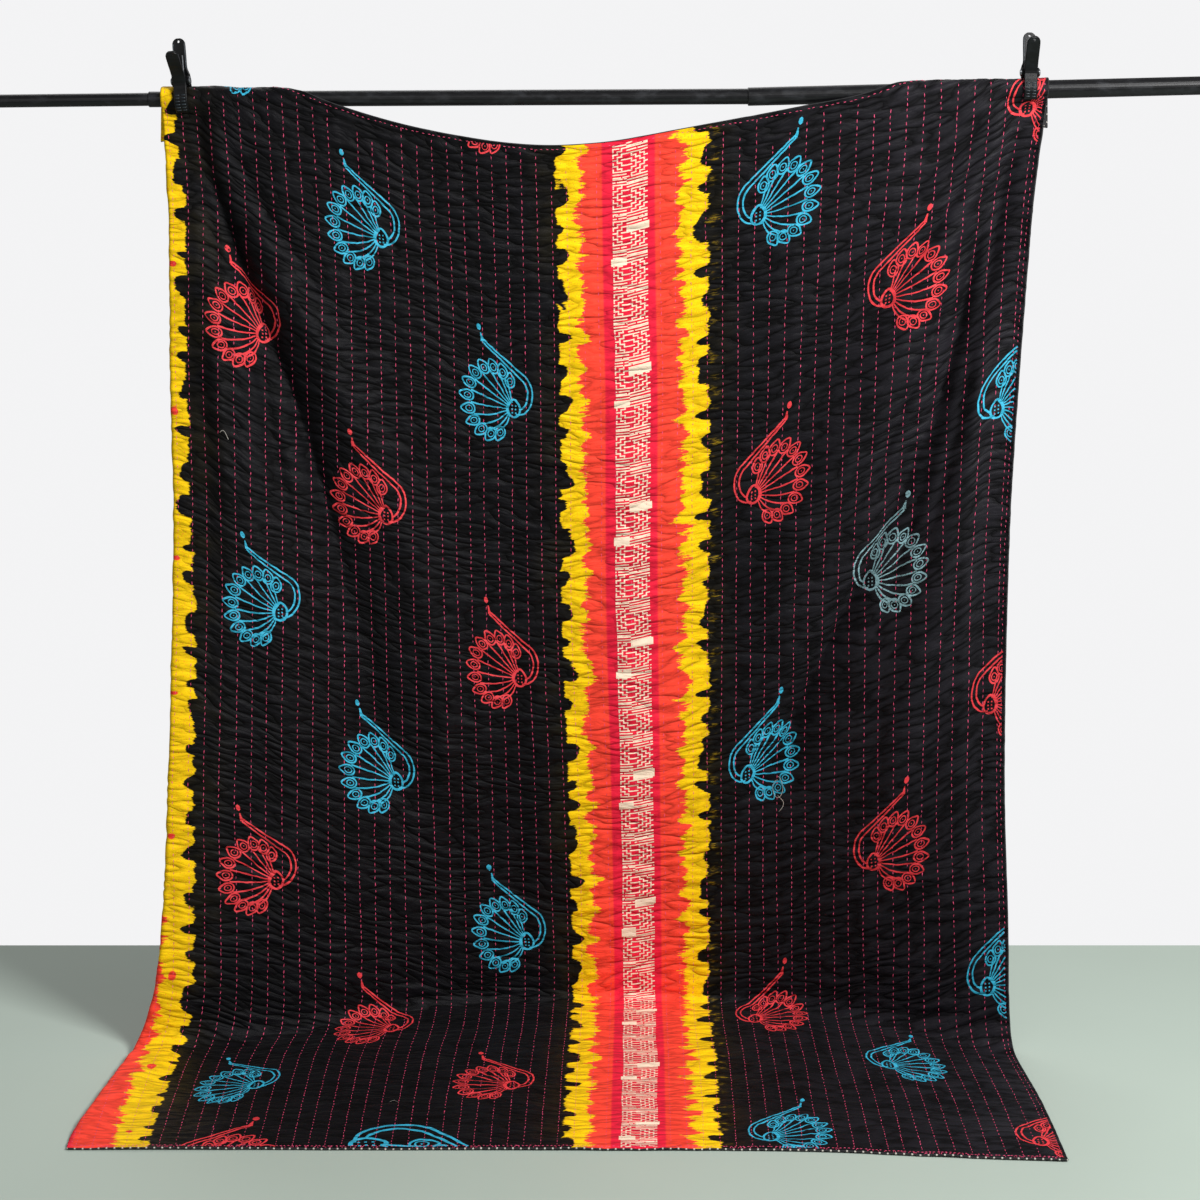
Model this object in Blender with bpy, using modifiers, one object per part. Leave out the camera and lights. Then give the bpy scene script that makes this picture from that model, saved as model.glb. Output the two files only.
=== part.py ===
"""A kantha quilt hung by two spring clamps from a telescoping crossbar, its lower end lying on the floor.

Metres, +Z up. The origin is on the floor, in the middle of the footprint. +X runs along the crossbar and
the quilt's face looks towards -Y.

The quilt is one sheet. A place on it is (u, v): u from its left hem to its right one, v from its bottom
hem, which lies out on the floor, up to its top hem, which is clamped over the bar. For each u the cloth
follows one run in the YZ plane: flat on the floor, a rounded corner, up to the bar, round it and down
behind. Tables give where the runs lie, and short formulas join them.
"""

import math
from typing import NamedTuple

import bmesh
import bpy
import numpy as np
from mathutils import Matrix, Vector

# Driving sizes
QUILT_WIDTH = 1.50
QUILT_LENGTH = 2.00
QUILT_THICKNESS = 0.0025
BAR_DEPTH = 0.2885  # the bar's axis, behind the middle of the footprint
BAR_GAP = 0.0010  # between the bar and the cloth that is wrapped on it
STRIPE_LEFT, STRIPE_RIGHT = 0.747, 0.985  # u of the edges of the dyed stripe

# How the cloth leaves the bar where a jaw holds it
FRONT_HOLD = math.radians(88.0)
BACK_HOLD = math.radians(50.0)
HOLD_EASE = 0.016  # length of the bend below a jaw
TAIL_BEND = 0.012  # radius of the bend behind the bar

# The left border is turned back behind the cloth, which settles past the hidden hem
HEM_CLEAR = 0.004
HEM_EASE = 0.06

# Where the cloth meets the step between two bar sections
STEP_REACH, STEP_EASE = 0.08, 0.06

# How folds fade: at their lower and upper ends, and above the floor
FOLD_LOWER_FADE, FOLD_UPPER_FADE, FOLD_OVERRUN = 0.22, 0.20, 0.06
FLOOR_CLEAR, FLOOR_FADE = 0.01, 0.18

# Clamp sizes
ARM_THICKNESS = 0.0045
ARM_HALF_WIDTH = 0.010
ARM_STEPS = 22
ARM_EDGE = 0.0009
ARM_EDGE_ANGLE = math.radians(50.0)
TIP_TURNS = (75.0, 55.0, 35.0, 18.0)  # degrees, where the tip's round end has its steps
JAW_END, JAW_TOP = math.radians(-36.0), math.radians(35.0)
JAW_STEPS = 6
SHOULDER_HEIGHT = 0.011
LUG_RADIUS, LUG_THICKNESS = 0.0075, 0.0028
LUG_WEB = 0.7  # height of the web behind a lug, as a share of the lug's
PIN_RADIUS, PIN_HEAD_RADIUS, PIN_HEAD = 0.0028, 0.0055, 0.0018
PIN_CHAMFER, PIN_FLAT = 0.0007, 0.7
RUNNING_GAP = 0.0004
HANDLE_HOLE_RADIUS, HANDLE_HOLE_DROP = 0.002, 0.0055
SPRING_RADIUS, SPRING_WIRE, SPRING_PITCH = 0.0044, 0.0009, 0.0022
SPRING_TURNS, SPRING_STEPS = 4.5, 10
THROUGH = 0.05  # length of a cutter, longer than any piece it cuts

# Crossbar sockets
SOCKET_DEPTH = 0.040
SOCKET_CLEARANCE = 0.0006
END_ROUNDING = 0.0008

# Fineness of the cloth's faces
FLOOR_ROWS, CORNER_ROWS, HANG_ROWS = 7, 5, 18
FRONT_ROWS = np.arange(-0.046, 0.0455, 0.007)  # lengths past the front of the bar, round it
BACK_ROWS = np.arange(0.054, 0.112, 0.0096)  # and down behind it
CLOSEST_ROWS, CLOSEST_COLUMNS = 0.0008, 0.002
TURN_STEPS = 6
HIDDEN_COLUMN = 0.45  # as a share of the turned width
COLUMNS_BY_FOLD = (1.36, 1.75, 2.05, 2.4)  # as shares of the turned width
ROUND_STEPS = 32
MERGE_DISTANCE = 0.00005


class BarSection(NamedTuple):
    name: str
    start_x: float
    start_z: float
    end_x: float
    end_z: float
    diameter: float
    socket_for: float  # diameter of the section that slides into its start, or 0


class Station(NamedTuple):
    v: float
    fold_x: float  # where the left border turns back
    stripe_left_x: float
    stripe_right_x: float
    right_x: float
    turned: float  # width of cloth turned back
    turn_radius: float


class Run(NamedTuple):
    u: float
    hem_y: float  # bottom hem, from the bar's axis
    corner_y: float  # where the hanging cloth meets the floor, from the bar's axis
    corner_radius: float
    over: float  # length past the front of the bar; below it where negative


class RunSizes(NamedTuple):
    """What the run at one u needs: its places, turns and the lengths at which its parts end."""

    hem: np.ndarray
    corner: np.ndarray
    bend: np.ndarray
    radius: np.ndarray  # of the wrap round the bar
    height: np.ndarray  # of the bar's axis
    back: np.ndarray  # turn past the top of the back, held by a jaw
    front: np.ndarray  # turn before the front, held by a jaw
    leave_y: np.ndarray
    leave_z: np.ndarray
    angle: np.ndarray  # of the hanging cloth, from the floor
    inset: np.ndarray
    ease: np.ndarray
    spread: np.ndarray
    floor_end: np.ndarray
    corner_end: np.ndarray
    hang_end: np.ndarray
    ease_end: np.ndarray
    bar_end: np.ndarray
    at_front: np.ndarray
    total: np.ndarray


class Fold(NamedTuple):
    name: str
    depth: float  # forward where positive
    width: float
    places: tuple  # (u, v) along the fold


class Clamp(NamedTuple):
    name: str
    x: float
    hold_u: float  # middle and half width of the cloth that its jaws press in
    hold_width: float
    jaw_radius: float  # inside of the jaws, from the bar's axis
    tilt: float  # degrees that the handles lean forward
    turn: float  # degrees about the vertical
    lean: float  # degrees to the left


class ArmPoint(NamedTuple):
    out: float  # from the clamp's middle
    rise: float  # above the pin


class ColumnSpan(NamedTuple):
    start_u: float
    end_u: float
    faces: int


BAR = (
    BarSection("crossbar_left", -1.0, 1.4795, -0.650, 1.4835, 0.020, 0.0),
    BarSection("crossbar_middle", -0.690, 1.4830, 0.266, 1.4877, 0.024, 0.020),
    BarSection("crossbar_right", 0.226, 1.4871, 1.0, 1.5060, 0.028, 0.024),
)

#        v     fold_x  stripe_l  stripe_r  right_x  turned   turn_radius
STATIONS = (
    Station(0.00, -0.794, -0.055, 0.175, 0.686, -0.008, 0.0045),
    Station(0.20, -0.764, -0.052, 0.177, 0.675, 0.022, 0.0045),
    Station(0.38, -0.733, -0.048, 0.178, 0.657, 0.045, 0.0045),
    Station(0.46, -0.709, -0.045, 0.176, 0.651, 0.056, 0.0045),
    Station(0.60, -0.690, -0.043, 0.175, 0.646, 0.070, 0.0045),
    Station(0.80, -0.678, -0.046, 0.173, 0.637, 0.080, 0.0045),
    Station(1.00, -0.669, -0.051, 0.171, 0.635, 0.080, 0.0045),
    Station(1.25, -0.661, -0.060, 0.169, 0.638, 0.080, 0.0045),
    Station(1.45, -0.662, -0.061, 0.167, 0.647, 0.080, 0.0040),
    Station(1.60, -0.661, -0.061, 0.166, 0.656, 0.080, 0.0035),
    Station(1.75, -0.661, -0.064, 0.163, 0.667, 0.080, 0.0028),
    Station(1.87, -0.668, -0.066, 0.161, 0.681, 0.080, 0.0021),
    Station(2.00, -0.674, -0.068, 0.161, 0.687, 0.080, 0.0021),
)

#    u      hem_y    corner_y  corner_radius  over
RUNS = (
    Run(-0.02, -0.567, -0.184, 0.045, 0.110),
    Run(0.08, -0.567, -0.178, 0.045, 0.108),
    Run(0.15, -0.567, -0.165, 0.042, 0.090),
    Run(0.19, -0.567, -0.152, 0.040, 0.066),
    Run(0.22, -0.567, -0.142, 0.038, 0.047),
    Run(0.25, -0.567, -0.130, 0.036, 0.034),
    Run(0.29, -0.567, -0.112, 0.034, 0.021),
    Run(0.33, -0.567, -0.093, 0.031, 0.009),
    Run(0.38, -0.568, -0.068, 0.027, -0.008),
    Run(0.46, -0.568, -0.030, 0.023, -0.031),
    Run(0.58, -0.568, 0.004, 0.020, -0.056),
    Run(0.74, -0.569, 0.018, 0.018, -0.072),
    Run(0.82, -0.570, 0.019, 0.018, -0.068),
    Run(0.94, -0.570, 0.017, 0.018, -0.049),
    Run(1.04, -0.571, 0.006, 0.020, -0.031),
    Run(1.14, -0.575, -0.016, 0.024, -0.013),
    Run(1.20, -0.580, -0.036, 0.028, -0.003),
    Run(1.24, -0.585, -0.055, 0.031, 0.007),
    Run(1.285, -0.590, -0.078, 0.034, 0.023),
    Run(1.32, -0.593, -0.098, 0.037, 0.035),
    Run(1.36, -0.597, -0.120, 0.040, 0.051),
    Run(1.40, -0.601, -0.141, 0.042, 0.073),
    Run(1.44, -0.604, -0.160, 0.044, 0.096),
    Run(1.52, -0.610, -0.190, 0.046, 0.110),
)

#        name            depth   width  places (u, v), from the top down
FOLDS = (
    Fold("left_valley", -0.013, 0.042, ((0.15, 1.8), (0.22, 1.64), (0.30, 1.46), (0.39, 1.14), (0.45, 0.8))),
    Fold("left_ridge", 0.010, 0.048, ((0.21, 1.78), (0.32, 1.62), (0.44, 1.42), (0.53, 1.10), (0.56, 0.8))),
    Fold("left_edge", 0.008, 0.040, ((0.13, 1.66), (0.17, 1.45), (0.24, 1.15), (0.28, 0.8))),
    Fold("right_valley", -0.014, 0.042, ((1.44, 1.8), (1.39, 1.56), (1.28, 1.28), (1.15, 1.04), (1.04, 0.8))),
    Fold("right_ridge", 0.010, 0.048, ((1.38, 1.78), (1.28, 1.56), (1.15, 1.34), (1.04, 1.12))),
    Fold("right_edge", 0.009, 0.040, ((1.45, 1.62), (1.42, 1.34), (1.34, 1.02), (1.28, 0.72))),
    Fold("middle_hollow", -0.008, 0.070, ((0.60, 1.05), (0.60, 0.80), (0.62, 0.66))),
    Fold("stripe_swell", 0.006, 0.075, ((0.86, 1.75), (0.87, 1.30), (0.86, 0.80))),
)

#         name              x    hold_u  hold_w  jaw_radius  tilt  turn  lean
CLAMPS = (
    Clamp("clamp_left", -0.636, 0.110, 0.054, 0.0215, 14.0, -6.0, 5.0),
    Clamp("clamp_right", 0.656, 1.470, 0.038, 0.0182, 0.0, 0.0, -1.0),
)

HANDLE = (
    ArmPoint(0.0105, 0.0),
    ArmPoint(0.0117, 0.013),
    ArmPoint(0.0210, 0.036),
    ArmPoint(0.0300, 0.058),
)
SHOULDER_Y = HANDLE[0].out

SPRING_LEG = (
    ArmPoint(0.0060, 0.0120),
    ArmPoint(0.0162, 0.0348),
)

COLUMN_SPANS = (
    ColumnSpan(0.214, 0.360, 9),
    ColumnSpan(0.400, 1.170, 11),
    ColumnSpan(1.200, 1.360, 8),
    ColumnSpan(1.395, 1.430, 1),
    ColumnSpan(1.457, 1.500, 2),
)


def rounded(value, keys, values):
    """values at keys, joined by one smooth curve and read at value."""
    keys, values = np.asarray(keys, float), np.asarray(values, float)
    slopes = np.gradient(values, keys)
    place = np.clip(value, keys[0], keys[-1])
    i = np.clip(np.searchsorted(keys, place) - 1, 0, len(keys) - 2)
    step = keys[i + 1] - keys[i]
    t = (place - keys[i]) / step
    start = (1 + 2 * t) * (1 - t) ** 2 * values[i] + t * (1 - t) ** 2 * step * slopes[i]
    end = t * t * (3 - 2 * t) * values[i + 1] + t * t * (t - 1) * step * slopes[i + 1]
    return start + end


def column(table, name, key, value):
    """One column of a table as a smooth curve over its key column."""
    return rounded(value, [getattr(row, key) for row in table], [getattr(row, name) for row in table])


def eased(t):
    """0 to 1 with flat ends, as t goes from 0 to 1."""
    t = np.clip(t, 0.0, 1.0)
    return t * t * (3 - 2 * t)


def bar_height(x):
    """Height of the bar's axis over x, along the two sections that carry the cloth."""
    middle, right = BAR[1], BAR[2]
    middle_slope = (middle.end_z - middle.start_z) / (middle.end_x - middle.start_x)
    right_slope = (right.end_z - right.start_z) / (right.end_x - right.start_x)
    on_middle = middle.start_z + middle_slope * (x - middle.start_x)
    on_right = right.start_z + right_slope * (x - right.start_x)
    return np.where(x < right.start_x, on_middle, on_right)


def bar_radius(x):
    """The bar's radius, already the thicker one a little before the step."""
    middle, right = BAR[1], BAR[2]
    share = eased((x - (right.start_x - STEP_REACH)) / STEP_EASE)
    return (middle.diameter + (right.diameter - middle.diameter) * share) / 2


def turned_width(v):
    """Width of the left border that is turned back at v."""
    return column(STATIONS, "turned", "v", v)


def along_bar(u, v):
    """x of the place (u, v), without the turned border: left of the fold it runs on, mirrored."""
    fold = turned_width(v)
    names = ("fold_x", "stripe_left_x", "stripe_right_x", "right_x")
    marks_x = [column(STATIONS, name, "v", v) for name in names]
    radius = column(STATIONS, "turn_radius", "v", v)
    past_turn = fold + math.pi * radius / 2
    start_x = marks_x[0] + radius
    left = start_x + (u - past_turn) / (STRIPE_LEFT - past_turn) * (marks_x[1] - start_x)
    middle = marks_x[1] + (u - STRIPE_LEFT) / (STRIPE_RIGHT - STRIPE_LEFT) * (marks_x[2] - marks_x[1])
    right = marks_x[2] + (u - STRIPE_RIGHT) / (QUILT_WIDTH - STRIPE_RIGHT) * (marks_x[3] - marks_x[2])
    return np.where(u < STRIPE_LEFT, left, np.where(u < STRIPE_RIGHT, middle, right))


def turned_back(u, v):
    """(x, lift) of a place at the turned left border: the cloth rolls back under itself at the fold."""
    fold, radius = turned_width(v), column(STATIONS, "turn_radius", "v", v)
    fold_x = column(STATIONS, "fold_x", "v", v)
    angle = np.clip((u - fold) / radius + math.pi / 2, 0.0, math.pi)
    hem_angle = np.clip(math.pi / 2 - fold / radius, 0.0, math.pi)
    half_turn = math.pi * radius / 2
    behind = np.maximum(fold - half_turn - u, 0.0)
    rolled_x = fold_x + radius * (1 - np.sin(angle)) + behind
    x = np.where(u < fold + half_turn, rolled_x, along_bar(u, v))
    lift = radius * (np.cos(hem_angle) - np.cos(angle))
    settle = 1 - eased((u - 2 * np.maximum(fold, 0.0) - HEM_CLEAR) / HEM_EASE)
    return x, lift * np.where(u > fold, settle, 1.0)


def jaw_hold(u):
    """How firmly a jaw holds the cloth at u, from 0 to 1."""
    return sum(np.exp(-(((u - clamp.hold_u) / clamp.hold_width) ** 4)) for clamp in CLAMPS)


def run_sizes(u):
    """The RunSizes at u."""
    hem, corner = column(RUNS, "hem_y", "u", u), column(RUNS, "corner_y", "u", u)
    bend, over = column(RUNS, "corner_radius", "u", u), column(RUNS, "over", "u", u)
    x = along_bar(u, np.full_like(u, QUILT_LENGTH))
    radius, height = bar_radius(x) + BAR_GAP, bar_height(x)
    front, back = FRONT_HOLD * jaw_hold(u), BACK_HOLD * jaw_hold(u)
    leave_y, leave_z = -radius * np.cos(front), height - radius * np.sin(front)
    hang = np.hypot(leave_y - corner, leave_z)
    angle = np.arctan2(leave_z, leave_y - corner)
    inset = bend * np.tan(angle / 2)
    ease, spread = HOLD_EASE * front / FRONT_HOLD, front / 2
    floor_end = corner - inset - hem
    corner_end = floor_end + bend * angle
    hang_end = corner_end + hang - inset - ease
    ease_end = hang_end + ease + radius * spread
    bar_end = ease_end + radius * (math.pi + back + front - spread)
    at_front = ease_end + radius * (front - spread)
    return RunSizes(
        hem=hem,
        corner=corner,
        bend=bend,
        radius=radius,
        height=height,
        back=back,
        front=front,
        leave_y=leave_y,
        leave_z=leave_z,
        angle=angle,
        inset=inset,
        ease=ease,
        spread=spread,
        floor_end=floor_end,
        corner_end=corner_end,
        hang_end=hang_end,
        ease_end=ease_end,
        bar_end=bar_end,
        at_front=at_front,
        total=at_front + over,
    )


def run_point(u, s):
    """(y, z, direction_y, direction_z) at length s along the run at u, y from the bar's axis."""
    r = run_sizes(u)
    up_y, up_z = np.cos(r.angle), np.sin(r.angle)
    # Rounded corner at the floor
    turn = np.clip((s - r.floor_end) / r.bend, 0.0, r.angle)
    corner_y = r.corner - r.inset + r.bend * np.sin(turn)
    corner_z = r.bend * (1 - np.cos(turn))
    # Straight up from it
    rise = s - r.corner_end + r.inset
    hang_y, hang_z = r.corner + up_y * rise, up_z * rise
    # The bend below a jaw, from the straight onto the bar
    ease_length = np.maximum(r.ease + r.radius * r.spread, 1e-6)
    t = np.clip((s - r.hang_end) / ease_length, 0.0, 1.0)
    start_y, start_z = r.leave_y - up_y * r.ease, r.leave_z - up_z * r.ease
    joined = r.spread - r.front
    end_y, end_z = -r.radius * np.cos(joined), r.height + r.radius * np.sin(joined)
    weights = (1 + 2 * t) * (1 - t) ** 2, t * (1 - t) ** 2, t * t * (3 - 2 * t), t * t * (t - 1)
    slopes = 6 * t * (t - 1), (1 - t) * (1 - 3 * t), 6 * t * (1 - t), t * (3 * t - 2)
    parts_y = start_y, up_y * ease_length, end_y, np.sin(joined) * ease_length
    parts_z = start_z, up_z * ease_length, end_z, np.cos(joined) * ease_length
    ease_y, ease_z = (sum(w * p for w, p in zip(weights, parts)) for parts in (parts_y, parts_z))
    ease_dy, ease_dz = (sum(w * p for w, p in zip(slopes, parts)) for parts in (parts_y, parts_z))
    # Round the bar, measured from its front
    turned = np.clip(joined + (s - r.ease_end) / r.radius, joined, math.pi + r.back)
    bar_y, bar_z = -r.radius * np.cos(turned), r.height + r.radius * np.sin(turned)
    # Behind the bar, bending back to the vertical and down
    end_turn = math.pi + r.back
    tail_turn = np.clip((s - r.bar_end) / TAIL_BEND, 0.0, r.back)
    heading = end_turn - tail_turn
    tail_y = -r.radius * np.cos(end_turn) + TAIL_BEND * (np.cos(heading) - np.cos(end_turn))
    tail_z = r.height + r.radius * np.sin(end_turn) + TAIL_BEND * (np.sin(end_turn) - np.sin(heading))
    drop = np.maximum(s - r.bar_end - TAIL_BEND * r.back, 0.0)
    stages = [s < r.floor_end, s < r.corner_end, s < r.hang_end, s < r.ease_end, s < r.bar_end]
    y = np.select(stages, [r.hem + s, corner_y, hang_y, ease_y, bar_y], tail_y)
    z = np.select(stages, [0 * s, corner_z, hang_z, ease_z, bar_z], tail_z - drop)
    dy = np.select(stages, [1 + 0 * s, np.cos(turn), up_y, ease_dy, np.sin(turned)], np.sin(heading))
    dz = np.select(stages, [0 * s, np.sin(turn), up_z, ease_dz, np.cos(turned)], np.cos(heading))
    length = np.hypot(dy, dz)
    return y, z, dy / length, dz / length


def fold_relief(u, v):
    """How far forward the folds push the cloth. They fade out at the floor and below the bar."""
    relief = np.zeros_like(u)
    for fold in FOLDS:
        line_u, line_v = zip(*reversed(fold.places))
        middle = rounded(v, line_v, line_u)
        rising = eased((v - line_v[0]) / FOLD_LOWER_FADE)
        fading = eased((line_v[-1] + FOLD_OVERRUN - v) / FOLD_UPPER_FADE)
        relief += fold.depth * rising * fading * np.exp(-(((u - middle) / fold.width) ** 2))
    sizes = run_sizes(u)
    past_corner = v * sizes.total / QUILT_LENGTH - sizes.corner_end
    return relief * eased((past_corner - FLOOR_CLEAR) / FLOOR_FADE)


def layer_u(u, v):
    """u of the run that a place follows: the turned border follows the cloth in front of it."""
    fold = turned_width(v)
    return fold + np.abs(u - fold)


def cloth_place(u, v):
    """The middle of the sheet at (u, v), as arrays x, y, z."""
    x, turn_lift = turned_back(u, v)
    front_u = layer_u(u, v)
    y, z, dy, dz = run_point(front_u, v * run_sizes(front_u).total / QUILT_LENGTH)
    out = QUILT_THICKNESS / 2 + turn_lift + fold_relief(front_u, v)
    return x, BAR_DEPTH + y - dz * out, z + dy * out


def cloth_rows(u):
    """v of the rows of faces at u: close together at the corner, and at fixed places round the bar."""
    sizes = run_sizes(u)
    floor_end, corner_end = float(sizes.floor_end[0]), float(sizes.corner_end[0])
    front, total = float(sizes.at_front[0]), float(sizes.total[0])
    places = np.concatenate([FRONT_ROWS, BACK_ROWS])
    left_over = total - CLOSEST_ROWS * np.arange(len(places) - 1, -1, -1)
    by_bar = np.minimum(front + places, left_over)
    rows = [0.0]
    for start, end, count in (
        (0.0, floor_end, FLOOR_ROWS),
        (floor_end, corner_end, CORNER_ROWS),
        (corner_end, by_bar[0], HANG_ROWS),
    ):
        rows += [start + (end - start) * (k + 1) / count for k in range(count)]
    return np.array([*rows, *by_bar[1:]]) * QUILT_LENGTH / total


def cloth_columns():
    """For each column of faces, a function of v that gives its u. The first ones follow the left fold."""
    columns = [lambda v: 0 * v, lambda v: np.maximum(turned_width(v) * HIDDEN_COLUMN, CLOSEST_COLUMNS)]
    for k in range(TURN_STEPS + 1):
        columns.append(
            lambda v, k=k: np.maximum(
                turned_width(v) + column(STATIONS, "turn_radius", "v", v) * math.pi * (k / TURN_STEPS - 0.5),
                CLOSEST_COLUMNS * (k + 2),
            )
        )
    for k, share in enumerate(COLUMNS_BY_FOLD):
        least = CLOSEST_COLUMNS * (TURN_STEPS + 3 + 3 * k)
        columns.append(lambda v, share=share, least=least: np.maximum(turned_width(v) * share, least))
    for span in COLUMN_SPANS:
        for place in np.linspace(span.start_u, span.end_u, span.faces + 1):
            columns.append(lambda v, place=place: place + 0 * v)
    return columns


def material(name, colour, roughness, metallic=0.0):
    """A Principled material of one colour."""
    made = bpy.data.materials.new(name)
    made.use_nodes = True
    shader = made.node_tree.nodes["Principled BSDF"]
    shader.inputs["Base Color"].default_value = (*colour, 1.0)
    shader.inputs["Roughness"].default_value = roughness
    shader.inputs["Metallic"].default_value = metallic
    return made


def add_object(name, data, collection, finish):
    """A new object in the collection, with one material."""
    made = bpy.data.objects.new(name, data)
    collection.objects.link(made)
    data.materials.append(finish)
    return made


def moved_grid(rows, columns, place):
    """A mesh grid of rows by columns points, each moved to place(row, column)."""
    grid = bmesh.new()
    bmesh.ops.create_grid(grid, x_segments=columns - 1, y_segments=rows - 1, size=1.0)
    for vertex in grid.verts:
        across = round((vertex.co.x + 1) / 2 * (columns - 1))
        along = round((vertex.co.y + 1) / 2 * (rows - 1))
        vertex.co = place(along, across)
    mesh = bpy.data.meshes.new("grid")
    grid.to_mesh(mesh)
    grid.free()
    return mesh


def add_quilt(collection, finish):
    """The sheet: a grid laid along the runs, given its thickness by Solidify."""
    places = []
    for u_of in cloth_columns():
        top = np.array([QUILT_LENGTH])
        v = cloth_rows(layer_u(u_of(top), top))
        places.append(np.stack(cloth_place(u_of(v), v), axis=1))
    rows = len(places[0])
    mesh = moved_grid(rows, len(places), lambda along, across: Vector(places[across][along]))
    quilt = add_object("quilt", mesh, collection, finish)
    solid = quilt.modifiers.new("thickness", "SOLIDIFY")
    solid.thickness = QUILT_THICKNESS
    solid.offset = 0.0
    solid.use_quality_normals = True
    mesh.shade_smooth()
    return quilt


def turned_solid(name, outline, collection, finish, steps=ROUND_STEPS):
    """A solid turned about X from an outline of (x, radius) points that starts and ends on the axis."""
    mesh = bpy.data.meshes.new(name)
    points = [(radius, 0.0, x) for x, radius in outline]
    mesh.from_pydata(points, [(k, k + 1) for k in range(len(points) - 1)], [])
    made = add_object(name, mesh, collection, finish)
    screw = made.modifiers.new("turned", "SCREW")
    screw.steps = screw.render_steps = steps
    screw.use_merge_vertices = True
    screw.merge_threshold = MERGE_DISTANCE
    screw.use_smooth_shade = True
    made.rotation_euler = (0.0, math.pi / 2, 0.0)
    return made


def add_bar_section(section, collection, finish):
    """One bar section, with a socket at its start where another slides in."""
    start = Vector((section.start_x, BAR_DEPTH, section.start_z))
    end = Vector((section.end_x, BAR_DEPTH, section.end_z))
    length, radius = (end - start).length, section.diameter / 2
    outline = [(length, 0.0), (length, radius - END_ROUNDING), (length - END_ROUNDING, radius)]
    outline += [(END_ROUNDING, radius), (0.0, radius - END_ROUNDING)]
    if section.socket_for:
        bore, floor = section.socket_for / 2 + SOCKET_CLEARANCE, SOCKET_DEPTH + SOCKET_CLEARANCE
        outline += [(0.0, bore), (floor, bore), (floor, 0.0)]
    else:
        outline.append((0.0, 0.0))
    made = turned_solid(section.name, outline, collection, finish)
    made.location = start
    made.rotation_euler = (end - start).to_track_quat("Z", "Y").to_euler()
    return made


def pivot_height(clamp):
    """Height of the clamp's pin above the bar's axis."""
    return clamp.jaw_radius + LUG_RADIUS + RUNNING_GAP


def arm_line(clamp):
    """Points (y, z) along the front arm's middle, from the jaw's end to the handle's tip, and how far
    each one is from the tip."""
    radius = clamp.jaw_radius + ARM_THICKNESS / 2
    pivot = pivot_height(clamp)
    turns = np.linspace(JAW_END, JAW_TOP, JAW_STEPS)
    jaw = [(-radius * math.cos(turn), radius * math.sin(turn)) for turn in turns]
    handle = [(-point.out, pivot + point.rise) for point in HANDLE]
    points = np.array(jaw + handle)
    lengths = np.concatenate([[0.0], np.cumsum(np.hypot(*np.diff(points, axis=0).T))])
    # Close steps at the tip make its round end
    tip = ARM_HALF_WIDTH * (1 - np.cos(np.radians(TIP_TURNS)))
    even = np.linspace(0.0, lengths[-1] - tip[0], ARM_STEPS)
    places = np.concatenate([even, lengths[-1] - tip[1:]])
    line = np.stack([rounded(places, lengths, points[:, k]) for k in (0, 1)], axis=1)
    return line, lengths[-1] - places


def arm_half_width(from_tip, height, pivot, shoulder_half_width):
    """Half the arm's width: round at the tip, wider at the shoulder of the back arm."""
    round_end = ARM_HALF_WIDTH - min(from_tip, ARM_HALF_WIDTH)
    width = math.sqrt(ARM_HALF_WIDTH**2 - round_end**2)
    shoulder = math.exp(-(((height - pivot) / SHOULDER_HEIGHT) ** 4))
    return width + (shoulder_half_width - ARM_HALF_WIDTH) * shoulder


def applied(made):
    """The object's mesh with its modifiers applied, keeping the object."""
    made.data = bpy.data.meshes.new_from_object(made.evaluated_get(bpy.context.evaluated_depsgraph_get()))
    made.modifiers.clear()
    return made


def add_cutter(name, radius, length, centre, direction, cutters):
    """A cylinder along direction, kept as a hidden cutter or adder."""
    mesh = bmesh.new()
    turn = Vector(direction).to_track_quat("Z", "Y").to_matrix().to_4x4()
    place = Matrix.Translation(centre) @ turn
    bmesh.ops.create_cone(
        mesh, cap_ends=True, segments=24, radius1=radius, radius2=radius, depth=length, matrix=place
    )
    return hidden(name, mesh, cutters)


def add_block(name, low, high, cutters):
    """A box between two corners, kept as a hidden adder."""
    mesh = bmesh.new()
    size = Vector(high) - Vector(low)
    place = Matrix.Translation((Vector(high) + Vector(low)) / 2) @ Matrix.Diagonal((*size, 1.0))
    bmesh.ops.create_cube(mesh, size=1.0, matrix=place)
    return hidden(name, mesh, cutters)


def hidden(name, mesh, cutters):
    """The mesh as an object that is only cut or joined with."""
    data = bpy.data.meshes.new(name)
    mesh.to_mesh(data)
    mesh.free()
    made = bpy.data.objects.new(name, data)
    cutters.objects.link(made)
    made.hide_render = True
    made.display_type = "WIRE"
    return made


def boolean(made, other, operation):
    """Join other to made, or cut it out."""
    step = made.modifiers.new(other.name, "BOOLEAN")
    step.operation = operation
    step.object = other


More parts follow.
